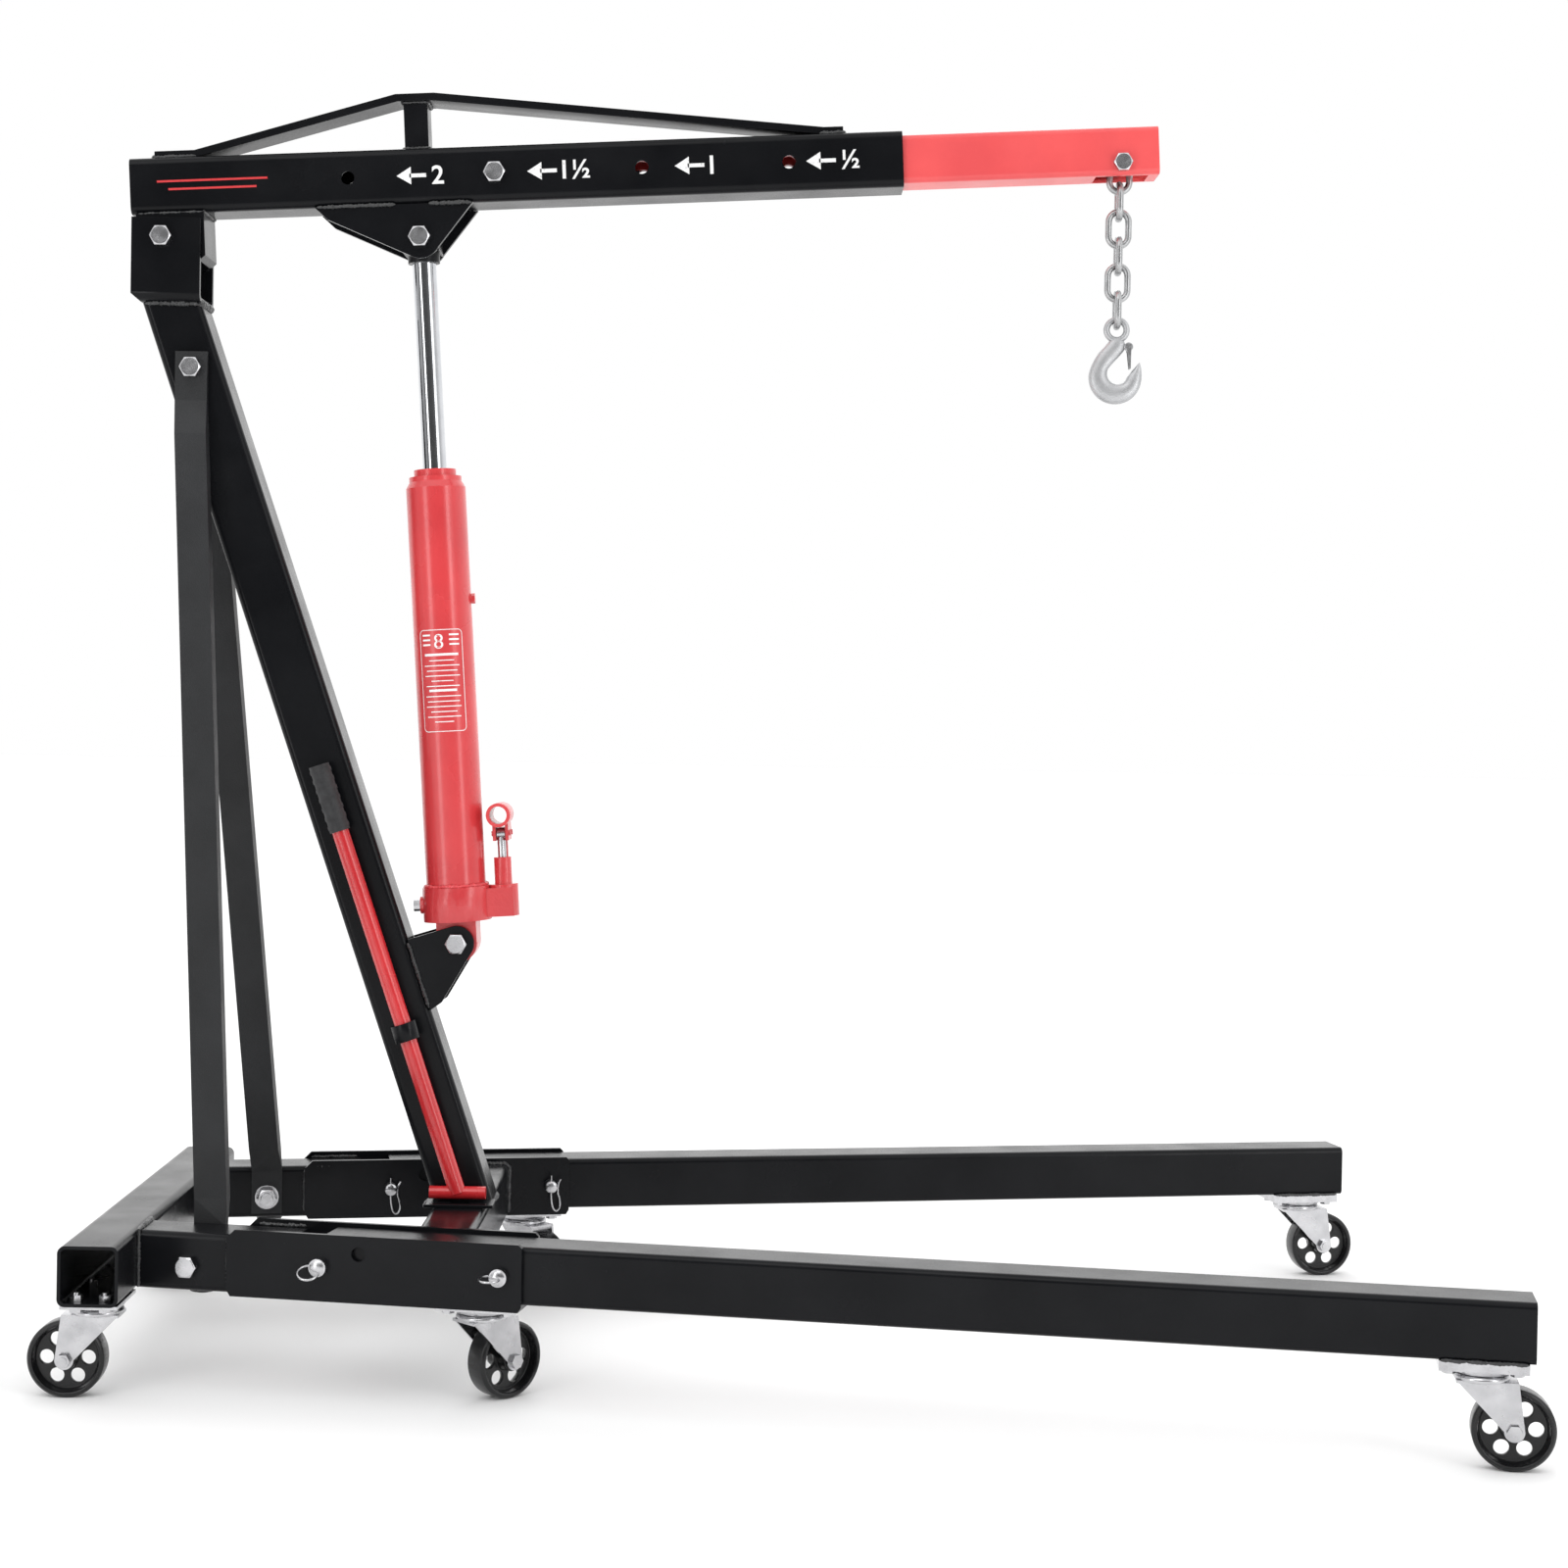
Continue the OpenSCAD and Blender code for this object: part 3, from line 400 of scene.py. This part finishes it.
# Bevel width in millimetres by node; the rest keep their exact edges.
EDGE_WIDTHS = {
    "mast_head": 1.2, "ram_foot_bracket": 0.8, "boom_lug": 1.2, "truss_strap": 0.8, "truss_post": 1.0,
    "ram_head_bracket": 0.8, "handle_clip": 0.8, "handle_rest": 0.8, "rod_eye": 1.0, "pump_socket": 0.7,
    "ram_base": 2.2, "frame_caster_plates": 0.5, "right_leg_plate": 0.5, "left_leg_plate": 0.5,
    "right_brace": 1.5, "left_brace": 1.5, "right_leg_bracket": 0.8, "left_leg_bracket": 0.8,
    "frame_bolts": 0.5, "boom_bolts": 0.5, "chain_bolt": 0.5, "leg_pins": 0.8,
}
for part in frame["record"]["subparts"]:
    if part["node"].endswith("_fork"):
        EDGE_WIDTHS[part["node"]] = 1.2
    if part["node"].endswith("_wheel"):
        EDGE_WIDTHS[part["node"]] = 0.8


def ease_edges(obj, width):
    """Rounds a CAD node's hard edges with modifiers alone."""
    weld = obj.modifiers.new("weld", "WELD")
    weld.merge_threshold = 0.00001
    flat = obj.modifiers.new("flat", "DECIMATE")
    flat.decimate_type = "DISSOLVE"
    flat.angle_limit = math.radians(0.5)
    bevel = obj.modifiers.new("bevel", "BEVEL")
    bevel.width = width * MM
    bevel.segments = 2
    bevel.limit_method = "ANGLE"
    bevel.angle_limit = math.radians(35)
    bevel.harden_normals = True


for node, width in EDGE_WIDTHS.items():
    ease_edges(NODES[node], width)

# ---------- weld beads ----------


def frame_welds(bm):
    """Beads of the base, the mast's foot and head, the ram bracket and the handle clip."""
    for side, sign in SIDES.items():
        outer = BEAM_Y
        inner = BEAM_Y - 69
        top, low = 184, 117
        bead(bm, [at(71, sign * outer, low), at(71, sign * outer, top), at(71, sign * inner, top),
                  at(71, sign * inner, low)])
        bead(bm, [beam(side, 112, -0.5, 124), beam(side, 112, -0.5, 180)], 2.4)
        bead(bm, [beam(side, 122, -0.5, 185), beam(side, 184, -0.5, 185)], 2.6)
        bead(bm, [beam(side, 124, 70, 185), beam(side, 186, 70, 185)], 3.4)
        bead(bm, [beam(side, 112, 68.5, 124), beam(side, 112, 68.5, 180)], 2.4)
        rear_y, front_y = sign * 231.2, sign * 244.2
        bead(bm, [at(393, rear_y, 118), at(393, rear_y, 180), at(399, rear_y * 1.004, 184.5),
                  at(457, front_y * 0.996, 184.5), at(463, front_y, 180), at(463, front_y, 118)])
    bead(bm, [at(395, -35, 185), at(461, -35, 185), at(465, -29, 182), at(465, 29, 182), at(461, 35, 185),
              at(395, 35, 185), at(392, 29, 185), at(392, -29, 185), at(395, -35, 185)], 3.6)
    top_x = mast_x(1303)
    bead(bm, [at(top_x - 32, -35.5, 1302), at(top_x + 31, -35.5, 1302), at(top_x + 37, -28, 1302),
              at(top_x + 37, 28, 1302), at(top_x + 31, 35.5, 1302), at(top_x - 32, 35.5, 1302)], 3.2)
    bead(bm, [at(top_x + 36, -36, 1304), at(top_x + 37, 36, 1304)], 3.6)
    for y in (-35.6, 35.6, -27.5, 27.5):
        bead(bm, [at(mast_x(z) + 36.5, y, z) for z in (427, 508)], 2.6)
    for h in (222, 232):
        bead(bm, [in_frame(MAST, -7, -36, h), in_frame(MAST, 7, -36, h)], 2.0)
    bead(bm, [at(386, -78, 186), at(386, -40, 186)], 2.2)


def boom_welds(bm):
    """Beads of the boom's lug, truss strap, truss post and ram bracket."""
    under = -35.5
    for y in (-34.4, 34.4):
        bead(bm, [in_frame(BOOM, 8, y, under), in_frame(BOOM, 90, y, under)], 1.9)
    bead(bm, [in_frame(BOOM, 91, -33, -34), in_frame(BOOM, 91, 33, -34)], 3.0)
    for y in (-25.5, 25.5):
        bead(bm, [in_frame(BOOM, 29, y, 36), in_frame(BOOM, 82, y, 36)], 2.6)
        bead(bm, [in_frame(BOOM, 862, y, 36), in_frame(BOOM, 893, y, 36)], 2.6)
    bead(bm, [in_frame(BOOM, 29, -25, 37), in_frame(BOOM, 29, 25, 37)], 3.0)
    bead(bm, [in_frame(BOOM, 893, -25, 37), in_frame(BOOM, 893, 25, 37)], 3.0)
    for height, r in ((36.2, 2.8), (94, 2.2)):
        corners = ((342, -20.5), (374, -20.5), (374, 20.5), (342, 20.5), (342, -20.5))
        bead(bm, [in_frame(BOOM, x, y, height) for x, y in corners], r)
    for y in (-35.4, 35.4):
        bead(bm, [in_frame(BOOM, 232, y, under), in_frame(BOOM, 330, y, under)], 2.4)
        bead(bm, [in_frame(BOOM, 372, y, under), in_frame(BOOM, 425, y, under)], 2.8)


def leg_welds(side):
    """Beads that hold the caster pad under a leg's tip."""
    def build(bm):
        for inward in (1.0, 67.0):
            bead(bm, [beam(side, 1488, inward, 121.4), beam(side, 1580, inward, 121.4)], 2.2)
    return build


def ram_welds(bm):
    """Beads where the cylinder and the pump meet the base, and round the foot's lug."""
    def circle(r, z, sides=48):
        turns = (2 * math.pi * k / sides for k in range(sides + 1))
        return [in_frame(RAM, r * math.cos(t), r * math.sin(t), z) for t in turns]
    bead(bm, circle(38.4, 71), 2.6)
    bead(bm, circle(11.6, 71)[: 48], 1.4)
    lug = ((-25, -27), (25, -27), (25, 27), (-25, 27), (-25, -27))
    bead(bm, [in_frame(RAM, x, y, 28) for x, y in lug], 1.8)


make_piece("frame_weld_beads", "frame", WELD_BLACK, frame_welds)
make_piece("boom_weld_beads", "boom", WELD_BLACK, boom_welds)
make_piece("ram_weld_beads", "ram_barrel", WELD_RED, ram_welds)
for side in SIDES:
    make_piece(f"{side}_leg_weld_beads", f"leg_{side}", WELD_BLACK, leg_welds(side))

# ---------- washers and thread ends ----------

# A frame bolt's washer (bore and outer radius), how far its nut stands out, and the place of the brace feet.
BORE = 8.2
WASHER_R = 16
NUT = 14.5
BRACE_ALONG = 62
BRACE_Z = 145


def washer(bm, centre, axis, bore, r, thick=1.8):
    """Flat washer with eased rims, standing on centre."""
    profile = [(bore, 0), (r - 0.5, 0), (r, 0.5), (r, thick - 0.5), (r - 0.5, thick), (bore, thick)]
    lathe(bm, axis_frame(centre, axis), profile, 36)


def thread(bm, centre, axis, r, length):
    """Turns of thread round a bolt's end, drawn as a stack of ridges."""
    profile = [(r - 1.6, 0)]
    pitch = 1.6
    for k in range(int(length / pitch)):
        profile += [(r - 0.45, k * pitch), (r + 0.12, (k + 0.5) * pitch)]
    profile += [(r - 0.45, length), (r - 1.6, length)]
    lathe(bm, axis_frame(centre, axis), profile, 24)


def frame_washers(bm):
    """Washers under the nuts of the frame's bolts, and the thread ends past the nuts."""
    head = Vector(JOINTS["boom_lift"]["pos_m"])
    brace = at(mast_x(1222), 0, 1222)
    for centre, half in ((head, 44), (RAM_FOOT, 35), (brace, 43)):
        washer(bm, centre + ACROSS * half * MM, ACROSS, BORE, WASHER_R)
        thread(bm, centre + ACROSS * (half + NUT) * MM, ACROSS, 8, 3.8)
    for side in SIDES:
        outward = (beam(side, BRACE_ALONG, -10, BRACE_Z) - beam(side, BRACE_ALONG, 0, BRACE_Z)).normalized()
        washer(bm, beam(side, BRACE_ALONG, 76, BRACE_Z), -outward, BORE, WASHER_R)
        thread(bm, beam(side, BRACE_ALONG, 76 + NUT, BRACE_Z), -outward, 8, 3.8)


def boom_washers(bm):
    """Washer and thread end of the ram pin bolt and of the lock bolt."""
    for x, z in ((359, -76.5), (455.5, 0)):
        washer(bm, in_frame(BOOM, x, 35, z), ACROSS, BORE, WASHER_R)
        thread(bm, in_frame(BOOM, x, 35 + NUT, z), ACROSS, 8, 3.8)


def chain_washers(bm):
    """Washer and thread end of the bolt that holds the chain."""
    washer(bm, in_frame(BOOM, 1239, 30, -15), ACROSS, 7.2, 14, 1.5)
    thread(bm, in_frame(BOOM, 1239, 42.7, -15), ACROSS, 7, 3.3)


make_piece("frame_washers", "frame", ZINC, frame_washers)
make_piece("boom_washers", "boom", ZINC, boom_washers)
make_piece("chain_bolt_washers", "extension", ZINC, chain_washers)

# ---------- pull rings and spring clips of the leg pins ----------

PIN_Z = 154.5
PINS = (226, 442)
CLIP_INWARD = 86
CLIP_WIRE = ((0, 15), (0, 8), (0, 0), (0, -10), (0.8, -20), (3, -29), (7, -33), (11, -30), (12.4, -23),
             (11.2, -15), (9.2, -8), (9.4, 0), (10.6, 6), (13, 10))


def wire_path(side, along, points):
    """Points beside a pin: forward of it, inwards from the beam's outer face, and above its axis."""
    return [beam(side, along + x, y, PIN_Z + z) for x, y, z in points]


def pin_hardware(bm):
    """Pull ring, domed head, spring clip and rounded end of each leg pin."""
    for side in SIDES:
        outward = (beam(side, 0, -10, 0) - beam(side, 0, 0, 0)).normalized()
        forward = (beam(side, 10, 0, 0) - beam(side, 0, 0, 0)).normalized()
        up = Vector((0, 0, 1))
        tilted = (outward * 0.5 + up * 0.85 + forward * 0.1).normalized()
        hoop(bm, beam(side, PINS[0] - 9, -19, PIN_Z - 5), tilted, 12, 1.4)
        hoop(bm, beam(side, PINS[1] - 9, -16, PIN_Z - 1), (up + outward * 0.12).normalized(), 12, 1.4)
        for along in PINS:
            dome = axis_frame(beam(side, along, -15, PIN_Z), outward)
            lathe(bm, dome, [(0.01, 2.2), (4, 2.0), (8, 0.9), (9.6, -0.4), (9.6, -1.2), (0.01, -1.2)], 28)
            wire = [(x, CLIP_INWARD, z) for x, z in CLIP_WIRE]
            sweep(bm, smooth_path(wire_path(side, along, wire), 4), 1.3 * MM, 8)
            cap = axis_frame(beam(side, along, 92, PIN_Z), -outward)
            lathe(bm, cap, [(0.01, 1.6), (5.5, 1.4), (7.4, 0.4), (7.9, -0.6), (0.01, -0.6)], 28)


def smooth_path(points, steps):
    """Catmull-Rom curve through points."""
    ends = [points[0] * 2 - points[1]] + points + [points[-1] * 2 - points[-2]]
    path = []
    for a, b, c, d in zip(ends, ends[1:], ends[2:], ends[3:]):
        for k in range(steps):
            t = k / steps
            path.append(0.5 * (2 * b + (c - a) * t + (2 * a - 5 * b + 4 * c - d) * t * t
                               + (3 * b - a - 3 * c + d) * t * t * t))
    return path + [points[-1]]


make_piece("pin_rings_and_clips", "frame", ZINC, pin_hardware, ["pin_clips"])

# ---------- casters ----------

# Height of the faces that the caster plates are bolted to.
PLATE_TOP = 114


def caster_trim(body, joint):
    """Lower half of a caster's ball race, on the fork's crown."""
    def build(bm):
        x, y, _ = JOINTS[joint]["pos_m"]
        place = Matrix.Translation((x, y, PLATE_TOP * MM))
        lathe(bm, place, [(24.6, -10.6), (28.5, -10.4), (30.4, -12.2), (30.8, -14.4), (29.6, -16.6),
                          (26.5, -17.6), (24.6, -16.2)], 48)
    return make_piece(f"{body}_race", body, ZINC, build)


def plate_race(body, name, joints):
    """Upper halves of the ball races, one under each caster plate of a body."""
    def build(bm):
        for joint in joints:
            x, y, _ = JOINTS[joint]["pos_m"]
            place = Matrix.Translation((x, y, PLATE_TOP * MM))
            profile = [(26.6, -4.2), (32, -4.2), (31.2, -5.8), (29.8, -8.4), (28.2, -9.7), (26.6, -9.7)]
            lathe(bm, place, profile, 48)
    return make_piece(name, body, ZINC, build)


for side in SIDES:
    for row in ("rear", "mid", "front"):
        caster_trim(f"{row}_{side}_swivel", f"{row}_{side}_swivel_turn")
    plate_race(f"leg_{side}", f"{side}_leg_race", [f"front_{side}_swivel_turn"])
FRAME_CASTERS = [f"{row}_{side}_swivel_turn" for row in ("rear", "mid") for side in SIDES]
plate_race("frame", "frame_races", FRAME_CASTERS)

# ---------- chain hook ----------


EYE_R = 12.6
EYE_WIRE = 4.1
BOWL_STEPS = 8


def arc(x, z, r, start, end):
    """Points round a part of a circle, in millimetres from the middle of the hook's eye."""
    turns = [math.radians(start + (end - start) * k / BOWL_STEPS) for k in range(BOWL_STEPS + 1)]
    return [(x + r * math.cos(turn), z + r * math.sin(turn)) for turn in turns]


def hook_outlines():
    """Outer edge, inner edge and half thickness of the hook, from its shank round to its point."""
    back = [(-6, -10.5), (-10.5, -15.5), (-15.5, -21.5), (-22.5, -29.5)]
    back += arc(-1, -60, 33.5, 152, 355) + [(32, -48), (30, -40.5)]
    inside = [(6, -10.5), (10.5, -15.5), (10.5, -24), (4.5, -32.5)]
    inside += arc(2, -55, 13, 140, 345) + [(23, -47.5), (28.5, -41)]
    bowl = [k / BOWL_STEPS for k in range(BOWL_STEPS + 1)]
    half = [4, 6, 7, 7.4] + [7.6 + math.sin(math.pi * t) - 1.4 * t * t for t in bowl] + [4.4, 1.2]
    return back, inside, half


def hook_shape(bm):
    """Forged hook: an eye, a shank that widens into the back, and a round point."""
    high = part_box("hook")[1]
    x = (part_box("link_6")[0][0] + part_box("link_6")[1][0]) / 2
    z = high[2] - (EYE_R + EYE_WIRE) * MM

    def spot(dx, dz):
        return Vector((x + dx * MM, 0, z + dz * MM))
    hoop(bm, spot(0, 0), ACROSS, EYE_R, EYE_WIRE, steps=48, sides=14)
    back, inside, half = hook_outlines()
    back = smooth_path([spot(*place) for place in back], 4)
    inside = smooth_path([spot(*place) for place in inside], 4)
    half = smooth_path([Vector((t, 0, 0)) for t in half], 4)
    rings = []
    for outer, inner, thick in zip(back, inside, half):
        middle = (outer + inner) / 2
        reach = (outer - inner) / 2
        ring = []
        for k in range(24):
            turn = math.tau * k / 24
            side = math.copysign(abs(math.sin(turn)) ** 0.85, math.sin(turn))
            ring.append(middle + reach * math.cos(turn) + ACROSS * thick.x * MM * side)
        rings.append(ring)
    skin(bm, rings)
    ear = axis_frame(spot(15.5, -21) - ACROSS * 3.9 * MM, ACROSS)
    lathe(bm, ear, [(2.1, 0), (4.8, 0), (5.5, 0.7), (5.5, 7.1), (4.8, 7.8), (2.1, 7.8)], 28)
    sweep(bm, [spot(6, -20.5), spot(12, -21)], 3.8 * MM, 14)


make_piece("cast_hook", "chain_hook", FORGED, hook_shape, ["hook"])

# ---------- printed marks ----------

INK = 0.06


def glyphs(text, size, weight):
    """Outlines of generic figures as a flat mesh, from the built-in font, in millimetres."""
    curve = bpy.data.curves.new("figures", "FONT")
    curve.body = text
    curve.size = size
    curve.extrude = 0.05
    curve.offset = weight
    holder = bpy.data.objects.new("figures", curve)
    bpy.context.scene.collection.objects.link(holder)
    graph = bpy.context.evaluated_depsgraph_get()
    mesh = bpy.data.meshes.new_from_object(holder.evaluated_get(graph))
    bpy.data.objects.remove(holder)
    bpy.data.curves.remove(curve)
    return mesh


def print_figures(bm, text, size, place, x, z, weight=0.0):
    """Adds figures to bm on the frame's right-hand face, with their lower left corner at x, z."""
    mesh = glyphs(text, size, weight)
    start = len(bm.verts)
    bm.from_mesh(mesh)
    bpy.data.meshes.remove(mesh)
    bm.verts.ensure_lookup_table()
    fresh = bm.verts[start:]
    left = min(v.co.x for v in fresh)
    base = min(v.co.y for v in fresh)
    for v in fresh:
        v.co = place(x + v.co.x - left, z + v.co.y - base, v.co.z)


def bar(bm, place, x0, z0, x1, z1, steps=1):
    """Flat printed bar between two corners."""
    rings = []
    for k in range(steps + 1):
        x = x0 + (x1 - x0) * k / steps
        rings.append([place(x, z0, 0), place(x, z1, 0), place(x, z1, INK), place(x, z0, INK)])
    skin(bm, rings)


def on_boom(x, z, out):
    """Point just off the boom's right-hand face."""
    return in_frame(BOOM, x, -35.05 - out, z)


LOAD_MARKS = (("2", 339), ("1\u00bd", 502), ("1", 686), ("\u00bd", 850))


def load_marks(bm):
    """Load figure of each hole, with an arrow that points at it."""
    for text, x in LOAD_MARKS:
        print_figures(bm, text, 32, on_boom, x + 38, -11.5, 0.55)
        bar(bm, on_boom, x + 10, -2.4, x + 31, 2.4)
        head = ((x + 12, -11), (x + 12, 11), (x - 6, 0))
        skin(bm, [[on_boom(*corner, h) for corner in head] for h in (0, INK)])


def pinstripe(bm):
    """Two plain lines near the boom's rear end."""
    for z, x0, x1 in ((4, 34, 172), (-6, 48, 158)):
        bar(bm, on_boom, x0, z - 1.3, x1, z + 1.3)


def on_ram(u, z, out):
    """Point on the cylinder: u is the distance round it from the right-hand side."""
    r = 37.5 + 0.08 + out
    turn = u / 37.5
    return in_frame(RAM, r * math.sin(turn), -r * math.cos(turn), z)


LABEL_Z = 330
LABEL_LINES = (22, 16, 23, 20, 23, 14, 22, 18, 23, 21, 23, 17, 22, 12)
LABEL_HEADINGS = (0, 7)


def ram_label(bm):
    """Rounded border with a figure and plain lines inside it."""
    wide, high, corner, line = 29, 64, 6, 0.9
    section = ((corner, 0), (corner - line, 0), (corner - line, INK), (corner, INK))
    outline = []
    for cx, cz, start in ((1, 1, 0), (-1, 1, 90), (-1, -1, 180), (1, -1, 270)):
        for k in range(7):
            turn = math.radians(start + 15 * k)
            outline.append((cx * (wide - corner), cz * (high - corner), math.cos(turn), math.sin(turn)))
    rings = []
    for k, (cx, cz, dx, dz) in enumerate(outline):
        following = outline[(k + 1) % len(outline)]
        spots = [(cx, cz, dx, dz)]
        if (k + 1) % 7 == 0:
            steps = 10
            spots += [tuple(a + (b - a) * j / steps for a, b in zip((cx, cz, dx, dz), following))
                      for j in range(1, steps)]
        for sx, sz, ex, ez in spots:
            rings.append([on_ram(sx + ex * r, LABEL_Z + sz + ez * r, h) for r, h in section])
    skin(bm, rings, closed=True)
    print_figures(bm, "8", 26, on_ram, -8, LABEL_Z + 40)
    for z in (56, 50, 44):
        bar(bm, on_ram, -24, LABEL_Z + z, -13, LABEL_Z + z + 2.2, 4)
        bar(bm, on_ram, 11, LABEL_Z + z, 24, LABEL_Z + z + 2.2, 4)
    for k, half in enumerate(LABEL_LINES):
        thick = 3.0 if k in LABEL_HEADINGS else 1.2
        z = LABEL_Z + 31 - k * 6.4
        bar(bm, on_ram, -half, z, half, z + thick, 10)


make_piece("load_marks", "boom", WHITE_INK, load_marks, smooth=False)
make_piece("boom_pinstripe", "boom", RED_INK, pinstripe, smooth=False)
make_piece("ram_label_lines", "ram_barrel", LABEL_INK, ram_label, smooth=False)

# ---------- small parts ----------


def rail_stops(bm):
    """Round rubber stop under each side rail."""
    for side in SIDES:
        place = Matrix.Translation(beam(side, 66, 40, 116))
        lathe(bm, place, [(0.01, 0.5), (17, 0.5), (17, -4.5), (15, -7), (9, -8.6), (0.01, -9)], 36)


make_piece("rail_stops", "frame", RUBBER, rail_stops)

# ---------- stage, light and camera ----------


def studio_floor():
    """Pale floor well under the object, with a soft finish."""
    mesh = bpy.data.meshes.new("floor")
    size = 30.0
    mesh.from_pydata(
        [(-size, -size, 0), (size, -size, 0), (size, size, 0), (-size, size, 0)], [], [(0, 1, 2, 3)]
    )
    floor = bpy.data.objects.new("floor", mesh)
    bpy.context.scene.collection.objects.link(floor)
    shader = Shader("floor_paint")
    shader.color(shader.ramp(shader.noise(0.8), ((0.3, (0.90, 0.90, 0.90)), (0.7, (0.93, 0.93, 0.93)))))
    shader.rough(shader.remap(shader.noise(2.0), 0.75, 0.85))
    mesh.materials.append(shader.mat)


def area_light(name, place, target, size, power):
    """Soft rectangular light that faces target."""
    light = bpy.data.lights.new(name, "AREA")
    light.shape = "RECTANGLE"
    light.size, light.size_y = size
    light.energy = power
    obj = bpy.data.objects.new(name, light)
    obj.location = place
    obj.rotation_euler = (Vector(target) - Vector(place)).to_track_quat("-Z", "Y").to_euler()
    bpy.context.scene.collection.objects.link(obj)


def studio_world(front, around):
    """White studio: plain white to the eye, and darker at the front than behind for reflections."""
    world = bpy.data.worlds.new("studio")
    bpy.context.scene.world = world
    world.use_nodes = True
    nodes, links = world.node_tree.nodes, world.node_tree.links
    direction = nodes.new("ShaderNodeTexCoord").outputs["Generated"]
    weigh = nodes.new("ShaderNodeVectorMath")
    weigh.operation = "DOT_PRODUCT"
    weigh.inputs[1].default_value = (0.0, 0.62, 0.85)
    links.new(direction, weigh.inputs[0])
    shade = nodes.new("ShaderNodeMapRange")
    shade.interpolation_type = "SMOOTHSTEP"
    for socket, value in (("From Min", -0.55), ("From Max", 0.45), ("To Min", front), ("To Max", around)):
        shade.inputs[socket].default_value = value
    links.new(weigh.outputs["Value"], shade.inputs["Value"])
    unlit = nodes["Background"]
    links.new(shade.outputs["Result"], unlit.inputs["Strength"])
    unlit.inputs["Color"].default_value = (1, 1, 1, 1)
    plain = nodes.new("ShaderNodeBackground")
    plain.inputs["Color"].default_value = (1, 1, 1, 1)
    pick = nodes.new("ShaderNodeMixShader")
    links.new(nodes.new("ShaderNodeLightPath").outputs["Is Camera Ray"], pick.inputs["Fac"])
    links.new(unlit.outputs["Background"], pick.inputs[1])
    links.new(plain.outputs["Background"], pick.inputs[2])
    links.new(pick.outputs["Shader"], nodes["World Output"].inputs["Surface"])


# Metres, and degrees of yaw, pitch and roll.
CAMERA_PLACE = (-0.0307, -3.4043, 0.8172)
CAMERA_TURN = (-0.08, -0.93, 0.94)


def photo_camera():
    """Camera at the photograph's place: low, level and well back on the right side."""
    camera = bpy.data.cameras.new("camera")
    camera.sensor_width = 36.0
    camera.lens = 61.86
    camera.shift_x = 0.0245
    camera.shift_y = -0.0247
    camera.clip_end = 100.0
    yaw, pitch, roll = (math.radians(a) for a in CAMERA_TURN)
    ahead = Vector((math.sin(yaw) * math.cos(pitch), math.cos(yaw) * math.cos(pitch), math.sin(pitch)))
    right = Vector((math.cos(yaw), -math.sin(yaw), 0))
    over = right.cross(ahead)
    turned_right = right * math.cos(roll) + over * math.sin(roll)
    turned_over = over * math.cos(roll) - right * math.sin(roll)
    turn = Matrix((turned_right, turned_over, -ahead)).transposed().to_4x4()
    obj = bpy.data.objects.new("camera", camera)
    obj.matrix_world = Matrix.Translation(CAMERA_PLACE) @ turn
    bpy.context.scene.collection.objects.link(obj)
    bpy.context.scene.camera = obj


studio_floor()
studio_world(0.1, 1.3)
area_light("key", (-1.5, -4.0, 4.5), (0, 0, 0.6), (3.0, 3.0), 40)
area_light("fill", (3.5, -3.0, 2.5), (0, 0, 0.6), (2.5, 2.5), 20)
area_light("back", (0.0, 3.5, 4.0), (0, 0, 0.8), (3.0, 2.0), 25)
for name, x in (("strip_left", -2.6), ("strip_right", 2.8)):
    area_light(name, (x, -2.9, 1.2), (0, 0, 1.0), (0.9, 2.4), 22)
photo_camera()
bpy.context.scene.view_settings.view_transform = "Standard"
